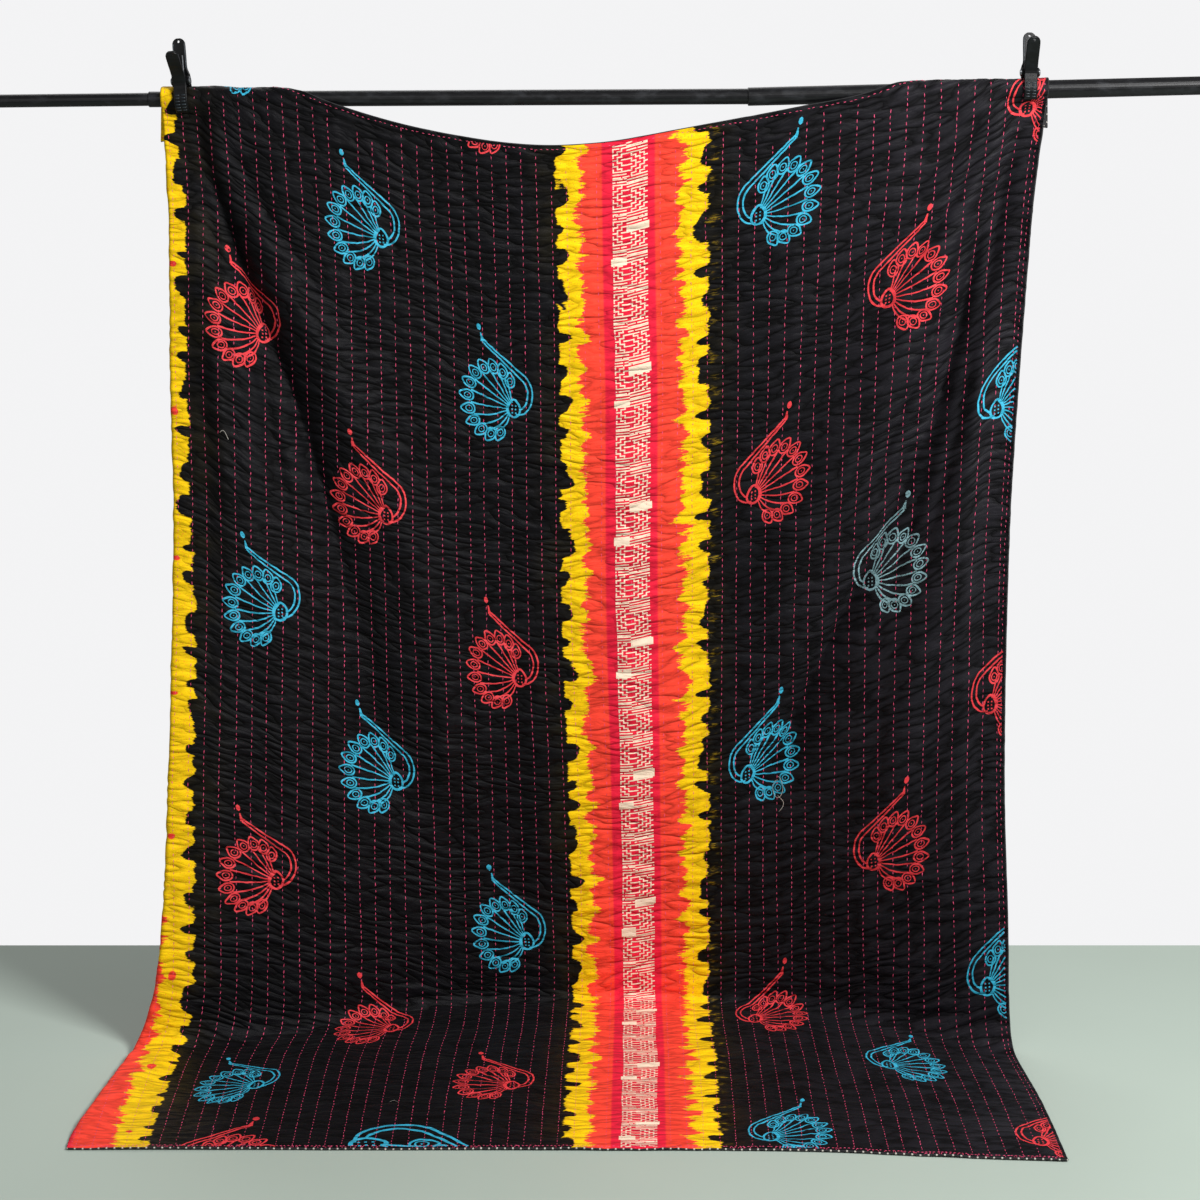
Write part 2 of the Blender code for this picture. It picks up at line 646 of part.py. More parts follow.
def add_arm(clamp, side, lug_inner, collection, cutters, finish):
    """One arm of a clamp: jaw, shoulder and handle in one plate, two lugs, and a hole near the tip.

    side is 1 for the front arm and -1 for the back one, which mirrors it.
    """
    name = f"{clamp.name}_{'front' if side > 0 else 'back'}_arm"
    line, from_tip = arm_line(clamp)
    pivot = pivot_height(clamp)
    lug_outer = lug_inner + LUG_THICKNESS
    shoulder_half = max(ARM_HALF_WIDTH, lug_outer)
    halves = [arm_half_width(f, point[1], pivot, shoulder_half) for f, point in zip(from_tip, line)]
    across = (-1.0, 0.0, 1.0)

    def place(along, k):
        return Vector((halves[along] * across[k] * side, line[along][0] * side, line[along][1]))

    arm = add_object(name, moved_grid(len(line), len(across), place), collection, finish)
    plate = arm.modifiers.new("plate", "SOLIDIFY")
    plate.thickness = ARM_THICKNESS
    plate.offset = 0.0
    edges = arm.modifiers.new("edges", "BEVEL")
    edges.width = ARM_EDGE
    edges.segments = 1
    edges.limit_method = "ANGLE"
    edges.angle_limit = ARM_EDGE_ANGLE
    applied(arm)
    web = LUG_RADIUS * LUG_WEB
    web_y = sorted((0.0, -SHOULDER_Y * side))
    for sign in (-1, 1):
        middle = sign * (lug_inner + lug_outer) / 2
        low = (middle - LUG_THICKNESS / 2, web_y[0], pivot - web)
        high = (middle + LUG_THICKNESS / 2, web_y[1], pivot + web)
        boolean(arm, add_block(f"{name}_web_{sign}", low, high, cutters), "UNION")
        lug_at, lug_name = (middle, 0.0, pivot), f"{name}_lug_{sign}"
        disc = add_cutter(lug_name, LUG_RADIUS, LUG_THICKNESS, lug_at, (1, 0, 0), cutters)
        boolean(arm, disc, "UNION")
    bore_radius = PIN_RADIUS + RUNNING_GAP
    bore = add_cutter(f"{name}_bore", bore_radius, THROUGH, (0.0, 0.0, pivot), (1, 0, 0), cutters)
    boolean(arm, bore, "DIFFERENCE")
    tip_run = Vector((0.0, (line[-1][0] - line[-6][0]) * side, line[-1][1] - line[-6][1])).normalized()
    tip = Vector((0.0, -HANDLE[-1].out * side, pivot + HANDLE[-1].rise))
    hole_at, hole_axis = tip - tip_run * HANDLE_HOLE_DROP, (0.0, tip_run.z, -tip_run.y)
    hole = add_cutter(f"{name}_hole", HANDLE_HOLE_RADIUS, THROUGH, hole_at, hole_axis, cutters)
    boolean(arm, hole, "DIFFERENCE")
    return arm


def add_pin(clamp, half_length, collection, finish):
    """The pivot pin with its two round heads, turned in one."""
    ends = half_length + PIN_HEAD
    outline = [(ends, 0.0), (ends, PIN_HEAD_RADIUS * PIN_FLAT), (ends - PIN_CHAMFER, PIN_HEAD_RADIUS)]
    outline += [(half_length, PIN_HEAD_RADIUS), (half_length, PIN_RADIUS)]
    outline += [(-x, radius) for x, radius in reversed(outline)]
    pin = turned_solid(f"{clamp.name}_pin", outline, collection, finish, steps=24)
    pin.location = (0.0, 0.0, pivot_height(clamp))
    return pin


def add_spring(clamp, collection, finish):
    """The coil round the pin, with a leg up the inside of each handle."""
    pivot = pivot_height(clamp)
    half = SPRING_TURNS * SPRING_PITCH / 2
    leg = [(point.out, pivot + point.rise) for point in SPRING_LEG]
    points = [(-half, -y, z) for y, z in reversed(leg)]
    steps = round(SPRING_TURNS * SPRING_STEPS)
    for k in range(steps + 1):
        angle = 2 * math.pi * k / SPRING_STEPS
        x = half * (2 * k / steps - 1)
        points.append((x, -SPRING_RADIUS * math.cos(angle), pivot - SPRING_RADIUS * math.sin(angle)))
    points += [(half, y, z) for y, z in leg]
    curve = bpy.data.curves.new(f"{clamp.name}_spring", "CURVE")
    curve.dimensions = "3D"
    curve.bevel_depth = SPRING_WIRE
    curve.bevel_resolution = 2
    curve.use_fill_caps = True
    spline = curve.splines.new("POLY")
    spline.points.add(len(points) - 1)
    for point, place in zip(spline.points, points):
        point.co = (*place, 1.0)
    return add_object(f"{clamp.name}_spring", curve, collection, finish)


def add_clamp(clamp, collection, cutters, plastic, steel):
    """A spring clamp on the bar: two arms, the pin they turn on and its spring."""
    frame = bpy.data.objects.new(clamp.name, None)
    collection.objects.link(frame)
    front_lug = ARM_HALF_WIDTH - LUG_THICKNESS
    back_lug = ARM_HALF_WIDTH + RUNNING_GAP
    pin_half = back_lug + LUG_THICKNESS + RUNNING_GAP
    pieces = [
        add_arm(clamp, 1, front_lug, collection, cutters, plastic),
        add_arm(clamp, -1, back_lug, collection, cutters, plastic),
        add_pin(clamp, pin_half, collection, steel),
        add_spring(clamp, collection, steel),
    ]
    for piece in pieces:
        piece.parent = frame
    for cutter in cutters.objects:
        if cutter.name.startswith(clamp.name):
            cutter.parent = frame
    frame.location = (clamp.x, BAR_DEPTH, float(bar_height(np.array(clamp.x))))
    frame.rotation_euler = (math.radians(clamp.tilt), math.radians(-clamp.lean), math.radians(clamp.turn))


def main():
    """Build the quilt, the crossbar and the clamps in one collection."""
    for old in list(bpy.data.objects):
        bpy.data.objects.remove(old)
    collection = bpy.data.collections.new("kantha_quilt_on_crossbar")
    cutters = bpy.data.collections.new("cutters")
    for group in (collection, cutters):
        bpy.context.scene.collection.children.link(group)
    cotton = material("black_printed_cotton", (0.012, 0.012, 0.014), 0.85)
    paint = material("satin_black_bar", (0.015, 0.015, 0.016), 0.35, 0.6)
    nylon = material("black_nylon", (0.012, 0.012, 0.012), 0.45)
    steel = material("grey_steel", (0.35, 0.36, 0.37), 0.35, 1.0)
    for section in BAR:
        add_bar_section(section, collection, paint)
    for clamp in CLAMPS:
        add_clamp(clamp, collection, cutters, nylon, steel)
    add_quilt(collection, cotton)
    bpy.context.view_layer.update()


main()
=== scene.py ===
"""Looks of a kantha quilt that two spring clamps hold over a telescoping crossbar.

Metres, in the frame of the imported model: +X runs along the crossbar, the printed side looks
towards -Y, +Z is up and the floor is at 0. A place on the quilt is (u, v): u from its left hem to
its right one, v from its bottom hem, which lies out on the floor, to its top hem over the bar.
Drape gives the shape of the sheet, and ClothGrid holds it as a fine grid that the face, the
reverse, the stitches and the print all lie on.
"""

import logging
import math
from dataclasses import dataclass
from enum import Enum
from typing import NamedTuple, Sequence

import bpy
import numpy as np
from mathutils import Euler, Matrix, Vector

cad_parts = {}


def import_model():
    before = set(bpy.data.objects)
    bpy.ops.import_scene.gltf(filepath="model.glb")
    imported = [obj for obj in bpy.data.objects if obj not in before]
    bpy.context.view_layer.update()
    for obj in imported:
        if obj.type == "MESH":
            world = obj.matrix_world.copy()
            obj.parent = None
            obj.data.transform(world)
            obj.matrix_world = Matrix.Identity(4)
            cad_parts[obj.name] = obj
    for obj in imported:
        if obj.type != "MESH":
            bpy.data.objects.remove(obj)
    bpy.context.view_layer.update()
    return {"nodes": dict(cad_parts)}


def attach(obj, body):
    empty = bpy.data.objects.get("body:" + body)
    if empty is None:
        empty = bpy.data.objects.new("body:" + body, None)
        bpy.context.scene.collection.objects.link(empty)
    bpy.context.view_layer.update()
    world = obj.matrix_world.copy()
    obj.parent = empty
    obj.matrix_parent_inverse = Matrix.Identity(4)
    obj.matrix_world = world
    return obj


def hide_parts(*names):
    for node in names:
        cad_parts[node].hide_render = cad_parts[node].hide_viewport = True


LOG = logging.getLogger("kantha_quilt")
Array = np.ndarray
Piece = bpy.types.Object
Material = bpy.types.Material
Tree = bpy.types.NodeTree
Node = bpy.types.Node
Socket = bpy.types.NodeSocket
Value = float | Socket
Sockets = dict[str, Socket]
Pair = tuple[float, float]
Point = tuple[float, float, float]
Colour = Point

QUILT_WIDTH, QUILT_LENGTH, QUILT_THICKNESS = 1.50, 2.00, 0.0025
BAR_DEPTH = 0.2885  # y of the crossbar's axis
STRIPE_LEFT, STRIPE_RIGHT = 0.747, 0.985  # u of the dyed stripe's sides
DOT_PITCH = 0.012  # of the dots on the reverse
CLOTH_MAP, BAKE_MAP = "cloth", "OFBake"


class Station(NamedTuple):
    """Where the lines along the quilt lie at one v."""

    v: float
    fold_x: float
    stripe_left_x: float
    stripe_right_x: float
    right_x: float
    turned: float
    turn_radius: float


class Run(NamedTuple):
    """Where the run of the cloth lies at one u, from the bar's axis."""

    u: float
    hem_y: float
    corner_y: float
    corner_radius: float
    over: float


class Fold(NamedTuple):
    """A soft ridge or trough along places (u, v), from the top down.

    It stands forward where depth is positive.
    """

    depth: float
    width: float
    places: tuple[Pair, ...]


class Hold(NamedTuple):
    """Cloth that a clamp's jaws press in: the middle and half width of it, along u."""

    u: float
    width: float


class BarSection(NamedTuple):
    """The axis and diameter of a section that carries the cloth."""

    start_x: float
    start_z: float
    end_x: float
    end_z: float
    diameter: float


MIDDLE_BAR = BarSection(-0.690, 1.4830, 0.266, 1.4877, 0.024)
RIGHT_BAR = BarSection(0.226, 1.4871, 1.0, 1.5060, 0.028)

#        v     fold_x  stripe_l  stripe_r  right_x  turned   turn_radius
STATIONS = (
    Station(0.00, -0.794, -0.055, 0.175, 0.686, -0.008, 0.0045),
    Station(0.20, -0.764, -0.052, 0.177, 0.675, 0.022, 0.0045),
    Station(0.38, -0.733, -0.048, 0.178, 0.657, 0.045, 0.0045),
    Station(0.46, -0.709, -0.045, 0.176, 0.651, 0.056, 0.0045),
    Station(0.60, -0.690, -0.043, 0.175, 0.646, 0.070, 0.0045),
    Station(0.80, -0.678, -0.046, 0.173, 0.637, 0.080, 0.0045),
    Station(1.00, -0.669, -0.051, 0.171, 0.635, 0.080, 0.0045),
    Station(1.25, -0.661, -0.060, 0.169, 0.638, 0.080, 0.0045),
    Station(1.45, -0.662, -0.061, 0.167, 0.647, 0.080, 0.0040),
    Station(1.60, -0.661, -0.061, 0.166, 0.656, 0.080, 0.0035),
    Station(1.75, -0.661, -0.064, 0.163, 0.667, 0.080, 0.0028),
    Station(1.87, -0.668, -0.066, 0.161, 0.681, 0.080, 0.0021),
    Station(2.00, -0.674, -0.068, 0.161, 0.687, 0.080, 0.0021),
)

#    u      hem_y    corner_y  corner_radius  over
RUNS = (
    Run(-0.02, -0.567, -0.184, 0.045, 0.110),
    Run(0.08, -0.567, -0.178, 0.045, 0.108),
    Run(0.15, -0.567, -0.165, 0.042, 0.090),
    Run(0.19, -0.567, -0.152, 0.040, 0.066),
    Run(0.22, -0.567, -0.142, 0.038, 0.047),
    Run(0.25, -0.567, -0.130, 0.036, 0.034),
    Run(0.29, -0.567, -0.112, 0.034, 0.021),
    Run(0.33, -0.567, -0.093, 0.031, 0.009),
    Run(0.38, -0.568, -0.068, 0.027, -0.008),
    Run(0.46, -0.568, -0.030, 0.023, -0.031),
    Run(0.58, -0.568, 0.004, 0.020, -0.056),
    Run(0.74, -0.569, 0.018, 0.018, -0.072),
    Run(0.82, -0.570, 0.019, 0.018, -0.068),
    Run(0.94, -0.570, 0.017, 0.018, -0.049),
    Run(1.04, -0.571, 0.006, 0.020, -0.031),
    Run(1.14, -0.575, -0.016, 0.024, -0.013),
    Run(1.20, -0.580, -0.036, 0.028, -0.003),
    Run(1.24, -0.585, -0.055, 0.031, 0.007),
    Run(1.285, -0.590, -0.078, 0.034, 0.023),
    Run(1.32, -0.593, -0.098, 0.037, 0.035),
    Run(1.36, -0.597, -0.120, 0.040, 0.051),
    Run(1.40, -0.601, -0.141, 0.042, 0.073),
    Run(1.44, -0.604, -0.160, 0.044, 0.096),
    Run(1.52, -0.610, -0.190, 0.046, 0.110),
)

#    depth   width  places (u, v)
FOLDS = (
    Fold(-0.017, 0.042, ((0.15, 1.8), (0.22, 1.64), (0.30, 1.46), (0.39, 1.14), (0.45, 0.8))),
    Fold(0.013, 0.048, ((0.21, 1.78), (0.32, 1.62), (0.44, 1.42), (0.53, 1.10), (0.56, 0.8))),
    Fold(0.011, 0.040, ((0.13, 1.66), (0.17, 1.45), (0.24, 1.15), (0.28, 0.8))),
    Fold(-0.018, 0.042, ((1.44, 1.8), (1.39, 1.56), (1.28, 1.28), (1.15, 1.04), (1.04, 0.8))),
    Fold(0.013, 0.048, ((1.38, 1.78), (1.28, 1.56), (1.15, 1.34), (1.04, 1.12))),
    Fold(0.011, 0.040, ((1.45, 1.62), (1.42, 1.34), (1.34, 1.02), (1.28, 0.72))),
    Fold(-0.008, 0.070, ((0.60, 1.05), (0.60, 0.80), (0.62, 0.66))),
    Fold(0.006, 0.075, ((0.86, 1.75), (0.87, 1.30), (0.86, 0.80))),
)

# Narrow pleats that spread from the clamps
PLEATS = (
    Fold(-0.0080, 0.015, ((0.143, 1.84), (0.216, 1.66), (0.30, 1.47), (0.35, 1.30), (0.385, 1.16))),
    Fold(-0.007, 0.014, ((0.143, 1.83), (0.19, 1.70), (0.218, 1.58), (0.285, 1.29), (0.333, 1.15))),
    Fold(-0.0060, 0.014, ((0.17, 1.90), (0.25, 1.79), (0.34, 1.68), (0.44, 1.58))),
    Fold(-0.0055, 0.014, ((0.15, 1.78), (0.165, 1.62), (0.185, 1.42), (0.20, 1.20))),
    Fold(
        -0.0075, 0.015,
        ((1.45, 1.81), (1.41, 1.65), (1.38, 1.51), (1.337, 1.39), (1.226, 1.19), (1.036, 0.85)),
    ),
    Fold(-0.0080, 0.015, ((1.43, 1.78), (1.40, 1.58), (1.365, 1.40), (1.31, 1.22), (1.24, 1.05))),
    Fold(-0.0080, 0.014, ((1.43, 1.88), (1.36, 1.77), (1.27, 1.66), (1.17, 1.57))),
    Fold(
        -0.0085, 0.013,
        ((1.462, 1.83), (1.442, 1.66), (1.418, 1.50), (1.382, 1.33), (1.335, 1.15)),
    ),
    Fold(-0.0080, 0.013, ((1.44, 1.84), (1.385, 1.68), (1.335, 1.54), (1.27, 1.40), (1.19, 1.27))),
    Fold(-0.0100, 0.024, ((1.43, 1.90), (1.36, 1.85), (1.27, 1.80), (1.17, 1.75), (1.06, 1.70))),
    Fold(-0.0060, 0.018, ((0.58, 1.20), (0.56, 1.00), (0.55, 0.78), (0.56, 0.62))),
)

HOLDS = (Hold(0.110, 0.054), Hold(1.470, 0.038))


def rounded(value: Array, keys: Sequence[float], values: Sequence[float]) -> Array:
    """Read a table as one smooth curve.

    Args:
        value: where to read it.
        keys: the table's places, rising.
        values: what it holds there.

    Returns:
        The curve at value.
    """
    keys, values = np.asarray(keys, float), np.asarray(values, float)
    slopes = np.gradient(values, keys)
    place = np.clip(value, keys[0], keys[-1])
    i = np.clip(np.searchsorted(keys, place) - 1, 0, len(keys) - 2)
    step = keys[i + 1] - keys[i]
    t = (place - keys[i]) / step
    start = (1 + 2 * t) * (1 - t) ** 2 * values[i] + t * (1 - t) ** 2 * step * slopes[i]
    end = t * t * (3 - 2 * t) * values[i + 1] + t * t * (t - 1) * step * slopes[i + 1]
    return start + end


def column(table: Sequence[NamedTuple], name: str, key: str, value: Array) -> Array:
    """Read the column called name at value, as a smooth curve over the column called key."""
    keys, values = ([getattr(row, part) for row in table] for part in (key, name))
    return rounded(value, keys, values)


def eased(t: Array) -> Array:
    """0 to 1 with flat ends, as t goes from 0 to 1."""
    t = np.clip(t, 0.0, 1.0)
    return t * t * (3 - 2 * t)


def normalised(vectors: Array) -> Array:
    """The vectors at length 1."""
    return vectors / np.maximum(np.linalg.norm(vectors, axis=-1, keepdims=True), 1e-12)


def pairs(first: Array, second: Array) -> Array:
    """Two lists of numbers side by side, as rows of two."""
    return np.stack([first, second], axis=-1)


def turned_right(ways: Array) -> Array:
    """Rows of flat directions, each turned a quarter to the right."""
    return pairs(ways[:, 1], -ways[:, 0])


class Noise:
    """Smooth noise over the flat cloth, from about -1 to 1, the same each run."""

    LATTICE = 256
    START = 40.0

    def __init__(self, seed: int, cell_u: float, cell_v: float) -> None:
        """Draw the lattice, with cells of those sizes across the cloth and along it."""
        self.cells = (cell_u, cell_v)
        self.lattice = np.random.default_rng(seed).uniform(-1.0, 1.0, (self.LATTICE,) * 2)

    def at(self, u: Array, v: Array) -> Array:
        """The noise at places on the cloth.

        Args:
            u: across the cloth.
            v: along it.

        Returns:
            The noise, from about -1 to 1.
        """
        x = np.asarray(u) / self.cells[0] + self.START
        y = np.asarray(v) / self.cells[1] + self.START
        i, j = np.floor(x).astype(int), np.floor(y).astype(int)
        fx, fy = eased(x - i), eased(y - j)
        corner = [
            self.lattice[(i + a) % self.LATTICE, (j + b) % self.LATTICE]
            for a, b in ((0, 0), (1, 0), (0, 1), (1, 1))
        ]
        low = corner[0] * (1 - fx) + corner[1] * fx
        high = corner[2] * (1 - fx) + corner[3] * fx
        return low * (1 - fy) + high * fy


class RunSizes(NamedTuple):
    """The places, turns and part lengths of the run of the cloth at one u."""

    hem: Array
    corner: Array
    bend: Array
    radius: Array
    height: Array
    back: Array
    front: Array
    leave_y: Array
    leave_z: Array
    angle: Array
    inset: Array
    ease: Array
    spread: Array
    floor_end: Array
    corner_end: Array
    hang_end: Array
    ease_end: Array
    bar_end: Array
    total: Array


@dataclass
class Drape:
    """The shape of the sheet: along the floor, up to the bar, round it and down behind."""

    width: float = QUILT_WIDTH
    length: float = QUILT_LENGTH
    thickness: float = QUILT_THICKNESS
    bar_gap: float = 0.0010
    front_hold: float = math.radians(88.0)
    back_hold: float = math.radians(50.0)
    hold_ease: float = 0.016
    tail_bend: float = 0.012
    hem_clear: float = 0.004
    hem_ease: float = 0.06
    step_reach: float = 0.08
    step_ease: float = 0.06
    fold_fades: Point = (0.22, 0.20, 0.06)
    floor_fades: Pair = (0.01, 0.18)
    bar_fade: float = 0.06

    def bar_height(self, x: Array) -> Array:
        """Height of the bar's axis over x.

        Args:
            x: places along the bar.

        Returns:
            z of the axis.
        """
        heights = []
        for bar in (MIDDLE_BAR, RIGHT_BAR):
            slope = (bar.end_z - bar.start_z) / (bar.end_x - bar.start_x)
            heights.append(bar.start_z + slope * (x - bar.start_x))
        return np.where(x < RIGHT_BAR.start_x, *heights)

    def bar_radius(self, x: Array) -> Array:
        """The bar's radius, already the thicker one a little before the step."""
        share = eased((x - (RIGHT_BAR.start_x - self.step_reach)) / self.step_ease)
        return (MIDDLE_BAR.diameter + (RIGHT_BAR.diameter - MIDDLE_BAR.diameter) * share) / 2

    def turned_width(self, v: Array) -> Array:
        """Width of the left border that is turned back at v."""
        return column(STATIONS, "turned", "v", v)

    def turn_radius(self, v: Array) -> Array:
        """Radius of the fold at the left border at v."""
        return column(STATIONS, "turn_radius", "v", v)

    def along_bar(self, u: Array, v: Array) -> Array:
        """x of a place that isn't turned back.

        Args:
            u: across the cloth.
            v: along it.

        Returns:
            x, as if nothing were turned back.
        """
        names = ("fold_x", "stripe_left_x", "stripe_right_x", "right_x")
        marks = [column(STATIONS, name, "v", v) for name in names]
        radius = self.turn_radius(v)
        past_turn = self.turned_width(v) + math.pi * radius / 2
        start_x = marks[0] + radius
        left = start_x + (u - past_turn) / (STRIPE_LEFT - past_turn) * (marks[1] - start_x)
        middle = marks[1] + (u - STRIPE_LEFT) / (STRIPE_RIGHT - STRIPE_LEFT) * (marks[2] - marks[1])
        right = marks[2] + (u - STRIPE_RIGHT) / (self.width - STRIPE_RIGHT) * (marks[3] - marks[2])
        return np.where(u < STRIPE_LEFT, left, np.where(u < STRIPE_RIGHT, middle, right))

    def turned_back(self, u: Array, v: Array) -> tuple[Array, Array]:
        """x and lift of a place: at the left border the cloth rolls back under itself.

        Args:
            u: across the cloth.
            v: along it.

        Returns:
            x, and how far the place is lifted off the run of the cloth.
        """
        fold, radius = self.turned_width(v), self.turn_radius(v)
        fold_x = column(STATIONS, "fold_x", "v", v)
        half_turn = math.pi * radius / 2
        angle = np.clip((u - fold) / radius + math.pi / 2, 0.0, math.pi)
        hem_angle = np.clip(math.pi / 2 - fold / radius, 0.0, math.pi)
        behind = np.maximum(fold - half_turn - u, 0.0)
        rolled_x = fold_x + radius * (1 - np.sin(angle)) + behind
        x = np.where(u < fold + half_turn, rolled_x, self.along_bar(u, v))
        lift = radius * (np.cos(hem_angle) - np.cos(angle))
        settle = 1 - eased((u - 2 * np.maximum(fold, 0.0) - self.hem_clear) / self.hem_ease)
        return x, lift * np.where(u > fold, settle, 1.0)

    def jaw_hold(self, u: Array) -> Array:
        """How firmly a jaw holds the cloth at u, from 0 to 1."""
        return sum(np.exp(-(((u - hold.u) / hold.width) ** 4)) for hold in HOLDS)

    def run_sizes(self, u: Array) -> RunSizes:
        """The sizes of the run at u.

        Args:
            u: which runs.

        Returns:
            Their sizes.
        """
        hem, corner = column(RUNS, "hem_y", "u", u), column(RUNS, "corner_y", "u", u)
        bend, over = column(RUNS, "corner_radius", "u", u), column(RUNS, "over", "u", u)
        x = self.along_bar(u, np.full_like(u, self.length))
        radius, height = self.bar_radius(x) + self.bar_gap, self.bar_height(x)
        front, back = self.front_hold * self.jaw_hold(u), self.back_hold * self.jaw_hold(u)
        leave_y, leave_z = -radius * np.cos(front), height - radius * np.sin(front)
        hang = np.hypot(leave_y - corner, leave_z)
        angle = np.arctan2(leave_z, leave_y - corner)
        inset = bend * np.tan(angle / 2)
        ease, spread = self.hold_ease * front / self.front_hold, front / 2
        floor_end = corner - inset - hem
        corner_end = floor_end + bend * angle
        hang_end = corner_end + hang - inset - ease
        ease_end = hang_end + ease + radius * spread
        bar_end = ease_end + radius * (math.pi + back + front - spread)
        total = ease_end + radius * (front - spread) + over
        return RunSizes(
            hem, corner, bend, radius, height, back, front, leave_y, leave_z, angle,
            inset, ease, spread, floor_end, corner_end, hang_end, ease_end, bar_end, total,
        )

    def run_point(self, u: Array, s: Array) -> tuple[Array, Array, Array, Array]:
        """Follow the run at u.

        Args:
            u: which run.
            s: length along it from the bottom hem.

        Returns:
            y and z of the place, and y and z of the way on, y from the bar's axis.
        """
        r = self.run_sizes(u)
        up_y, up_z = np.cos(r.angle), np.sin(r.angle)
        turn = np.clip((s - r.floor_end) / r.bend, 0.0, r.angle)
        corner_y = r.corner - r.inset + r.bend * np.sin(turn)
        corner_z = r.bend * (1 - np.cos(turn))
        rise = s - r.corner_end + r.inset
        hang_y, hang_z = r.corner + up_y * rise, up_z * rise
        ease_length = np.maximum(r.ease + r.radius * r.spread, 1e-6)
        t = np.clip((s - r.hang_end) / ease_length, 0.0, 1.0)
        start_y, start_z = r.leave_y - up_y * r.ease, r.leave_z - up_z * r.ease
        joined = r.spread - r.front
        end_y, end_z = -r.radius * np.cos(joined), r.height + r.radius * np.sin(joined)
        weights = (1 + 2 * t) * (1 - t) ** 2, t * (1 - t) ** 2, t * t * (3 - 2 * t), t * t * (t - 1)
        slopes = 6 * t * (t - 1), (1 - t) * (1 - 3 * t), 6 * t * (1 - t), t * (3 * t - 2)
        parts_y = start_y, up_y * ease_length, end_y, np.sin(joined) * ease_length
        parts_z = start_z, up_z * ease_length, end_z, np.cos(joined) * ease_length
        both = parts_y, parts_z
        ease_y, ease_z = (sum(w * p for w, p in zip(weights, parts)) for parts in both)
        ease_dy, ease_dz = (sum(w * p for w, p in zip(slopes, parts)) for parts in both)
        turned = np.clip(joined + (s - r.ease_end) / r.radius, joined, math.pi + r.back)
        bar_y, bar_z = -r.radius * np.cos(turned), r.height + r.radius * np.sin(turned)
        end_turn, bend = math.pi + r.back, self.tail_bend
        end_cosine, end_sine = np.cos(end_turn), np.sin(end_turn)
        heading = end_turn - np.clip((s - r.bar_end) / bend, 0.0, r.back)
        tail_y = -r.radius * end_cosine + bend * (np.cos(heading) - end_cosine)
        tail_z = r.height + r.radius * end_sine + bend * (end_sine - np.sin(heading))
        tail_z = tail_z - np.maximum(s - r.bar_end - bend * r.back, 0.0)
        stages = [s < end for end in (r.floor_end, r.corner_end, r.hang_end, r.ease_end, r.bar_end)]
        y = np.select(stages, [r.hem + s, corner_y, hang_y, ease_y, bar_y], tail_y)
        z = np.select(stages, [0 * s, corner_z, hang_z, ease_z, bar_z], tail_z)
        ways_y = [1 + 0 * s, np.cos(turn), up_y, ease_dy, np.sin(turned)]
        ways_z = [0 * s, np.sin(turn), up_z, ease_dz, np.cos(turned)]
        dy = np.select(stages, ways_y, np.sin(heading))
        dz = np.select(stages, ways_z, np.cos(heading))
        length = np.hypot(dy, dz)
        return y, z, dy / length, dz / length

    def off_floor(self, u: Array, v: Array) -> Array:
        """0 where the cloth lies on the floor, 1 once it hangs free of it.

        Args:
            u: across the cloth.
            v: along it.

        Returns:
            The share, from 0 to 1.
        """
        sizes = self.run_sizes(u)
        past = v * sizes.total / self.length - sizes.corner_end
        return eased((past - self.floor_fades[0]) / self.floor_fades[1])

    def below_bar(self, u: Array, v: Array) -> Array:
        """0 where the cloth is on the bar or behind it, 1 a little below it."""
        sizes = self.run_sizes(u)
        return eased((sizes.hang_end - v * sizes.total / self.length) / self.bar_fade)

    def relief(self, u: Array, v: Array) -> Array:
        """How far forward the folds push the cloth.

        Args:
            u: across the cloth.
            v: along it.

        Returns:
            The distance, negative in the troughs.
        """
        relief = np.zeros_like(u)
        lower, upper, overrun = self.fold_fades
        for fold in (*FOLDS, *PLEATS):
            line_u, line_v = zip(*reversed(fold.places))
            middle = rounded(v, line_v, line_u)
            fades = eased((v - line_v[0]) / lower) * eased((line_v[-1] + overrun - v) / upper)
            relief += fold.depth * fades * np.exp(-(((u - middle) / fold.width) ** 2))
        return relief * self.off_floor(u, v)

    def layer_u(self, u: Array, v: Array) -> Array:
        """u of the run that a place follows: the turned border follows the cloth in front of it."""
        fold = self.turned_width(v)
        return fold + np.abs(u - fold)

    def place(self, u: Array, v: Array, lift: Array) -> Array:
        """The middle of the sheet.

        Args:
            u: across the cloth.
            v: along it.
            lift: how far it stands forward of where it would lie.

        Returns:
            Points, with x, y and z last.
        """
        x, turn_lift = self.turned_back(u, v)
        front_u = self.layer_u(u, v)
        y, z, dy, dz = self.run_point(front_u, v * self.run_sizes(front_u).total / self.length)
        out = self.thickness / 2 + turn_lift + self.relief(front_u, v) + lift
        return np.stack([x, BAR_DEPTH + y - dz * out, z + dy * out], axis=-1)


@dataclass
class Stitching:
    """The lines of running stitch along the quilt."""

    spacing: float = 0.025
    wander: float = 0.0014

    def __post_init__(self) -> None:
        """Draw the noise by which the hand strays."""
        self.aside = Noise(11, 0.03, 0.16)

    def line(self, u: Array, v: Array) -> Array:
        """Line coordinate, whole numbers on the lines of stitches."""
        return (u + self.wander * self.aside.at(u, v)) / self.spacing - 0.5

    def line_u(self, number: Array, v: Array) -> Array:
        """u of a line of stitches at v."""
        straight = (number + 0.5) * self.spacing
        return straight - self.wander * self.aside.at(straight, v)


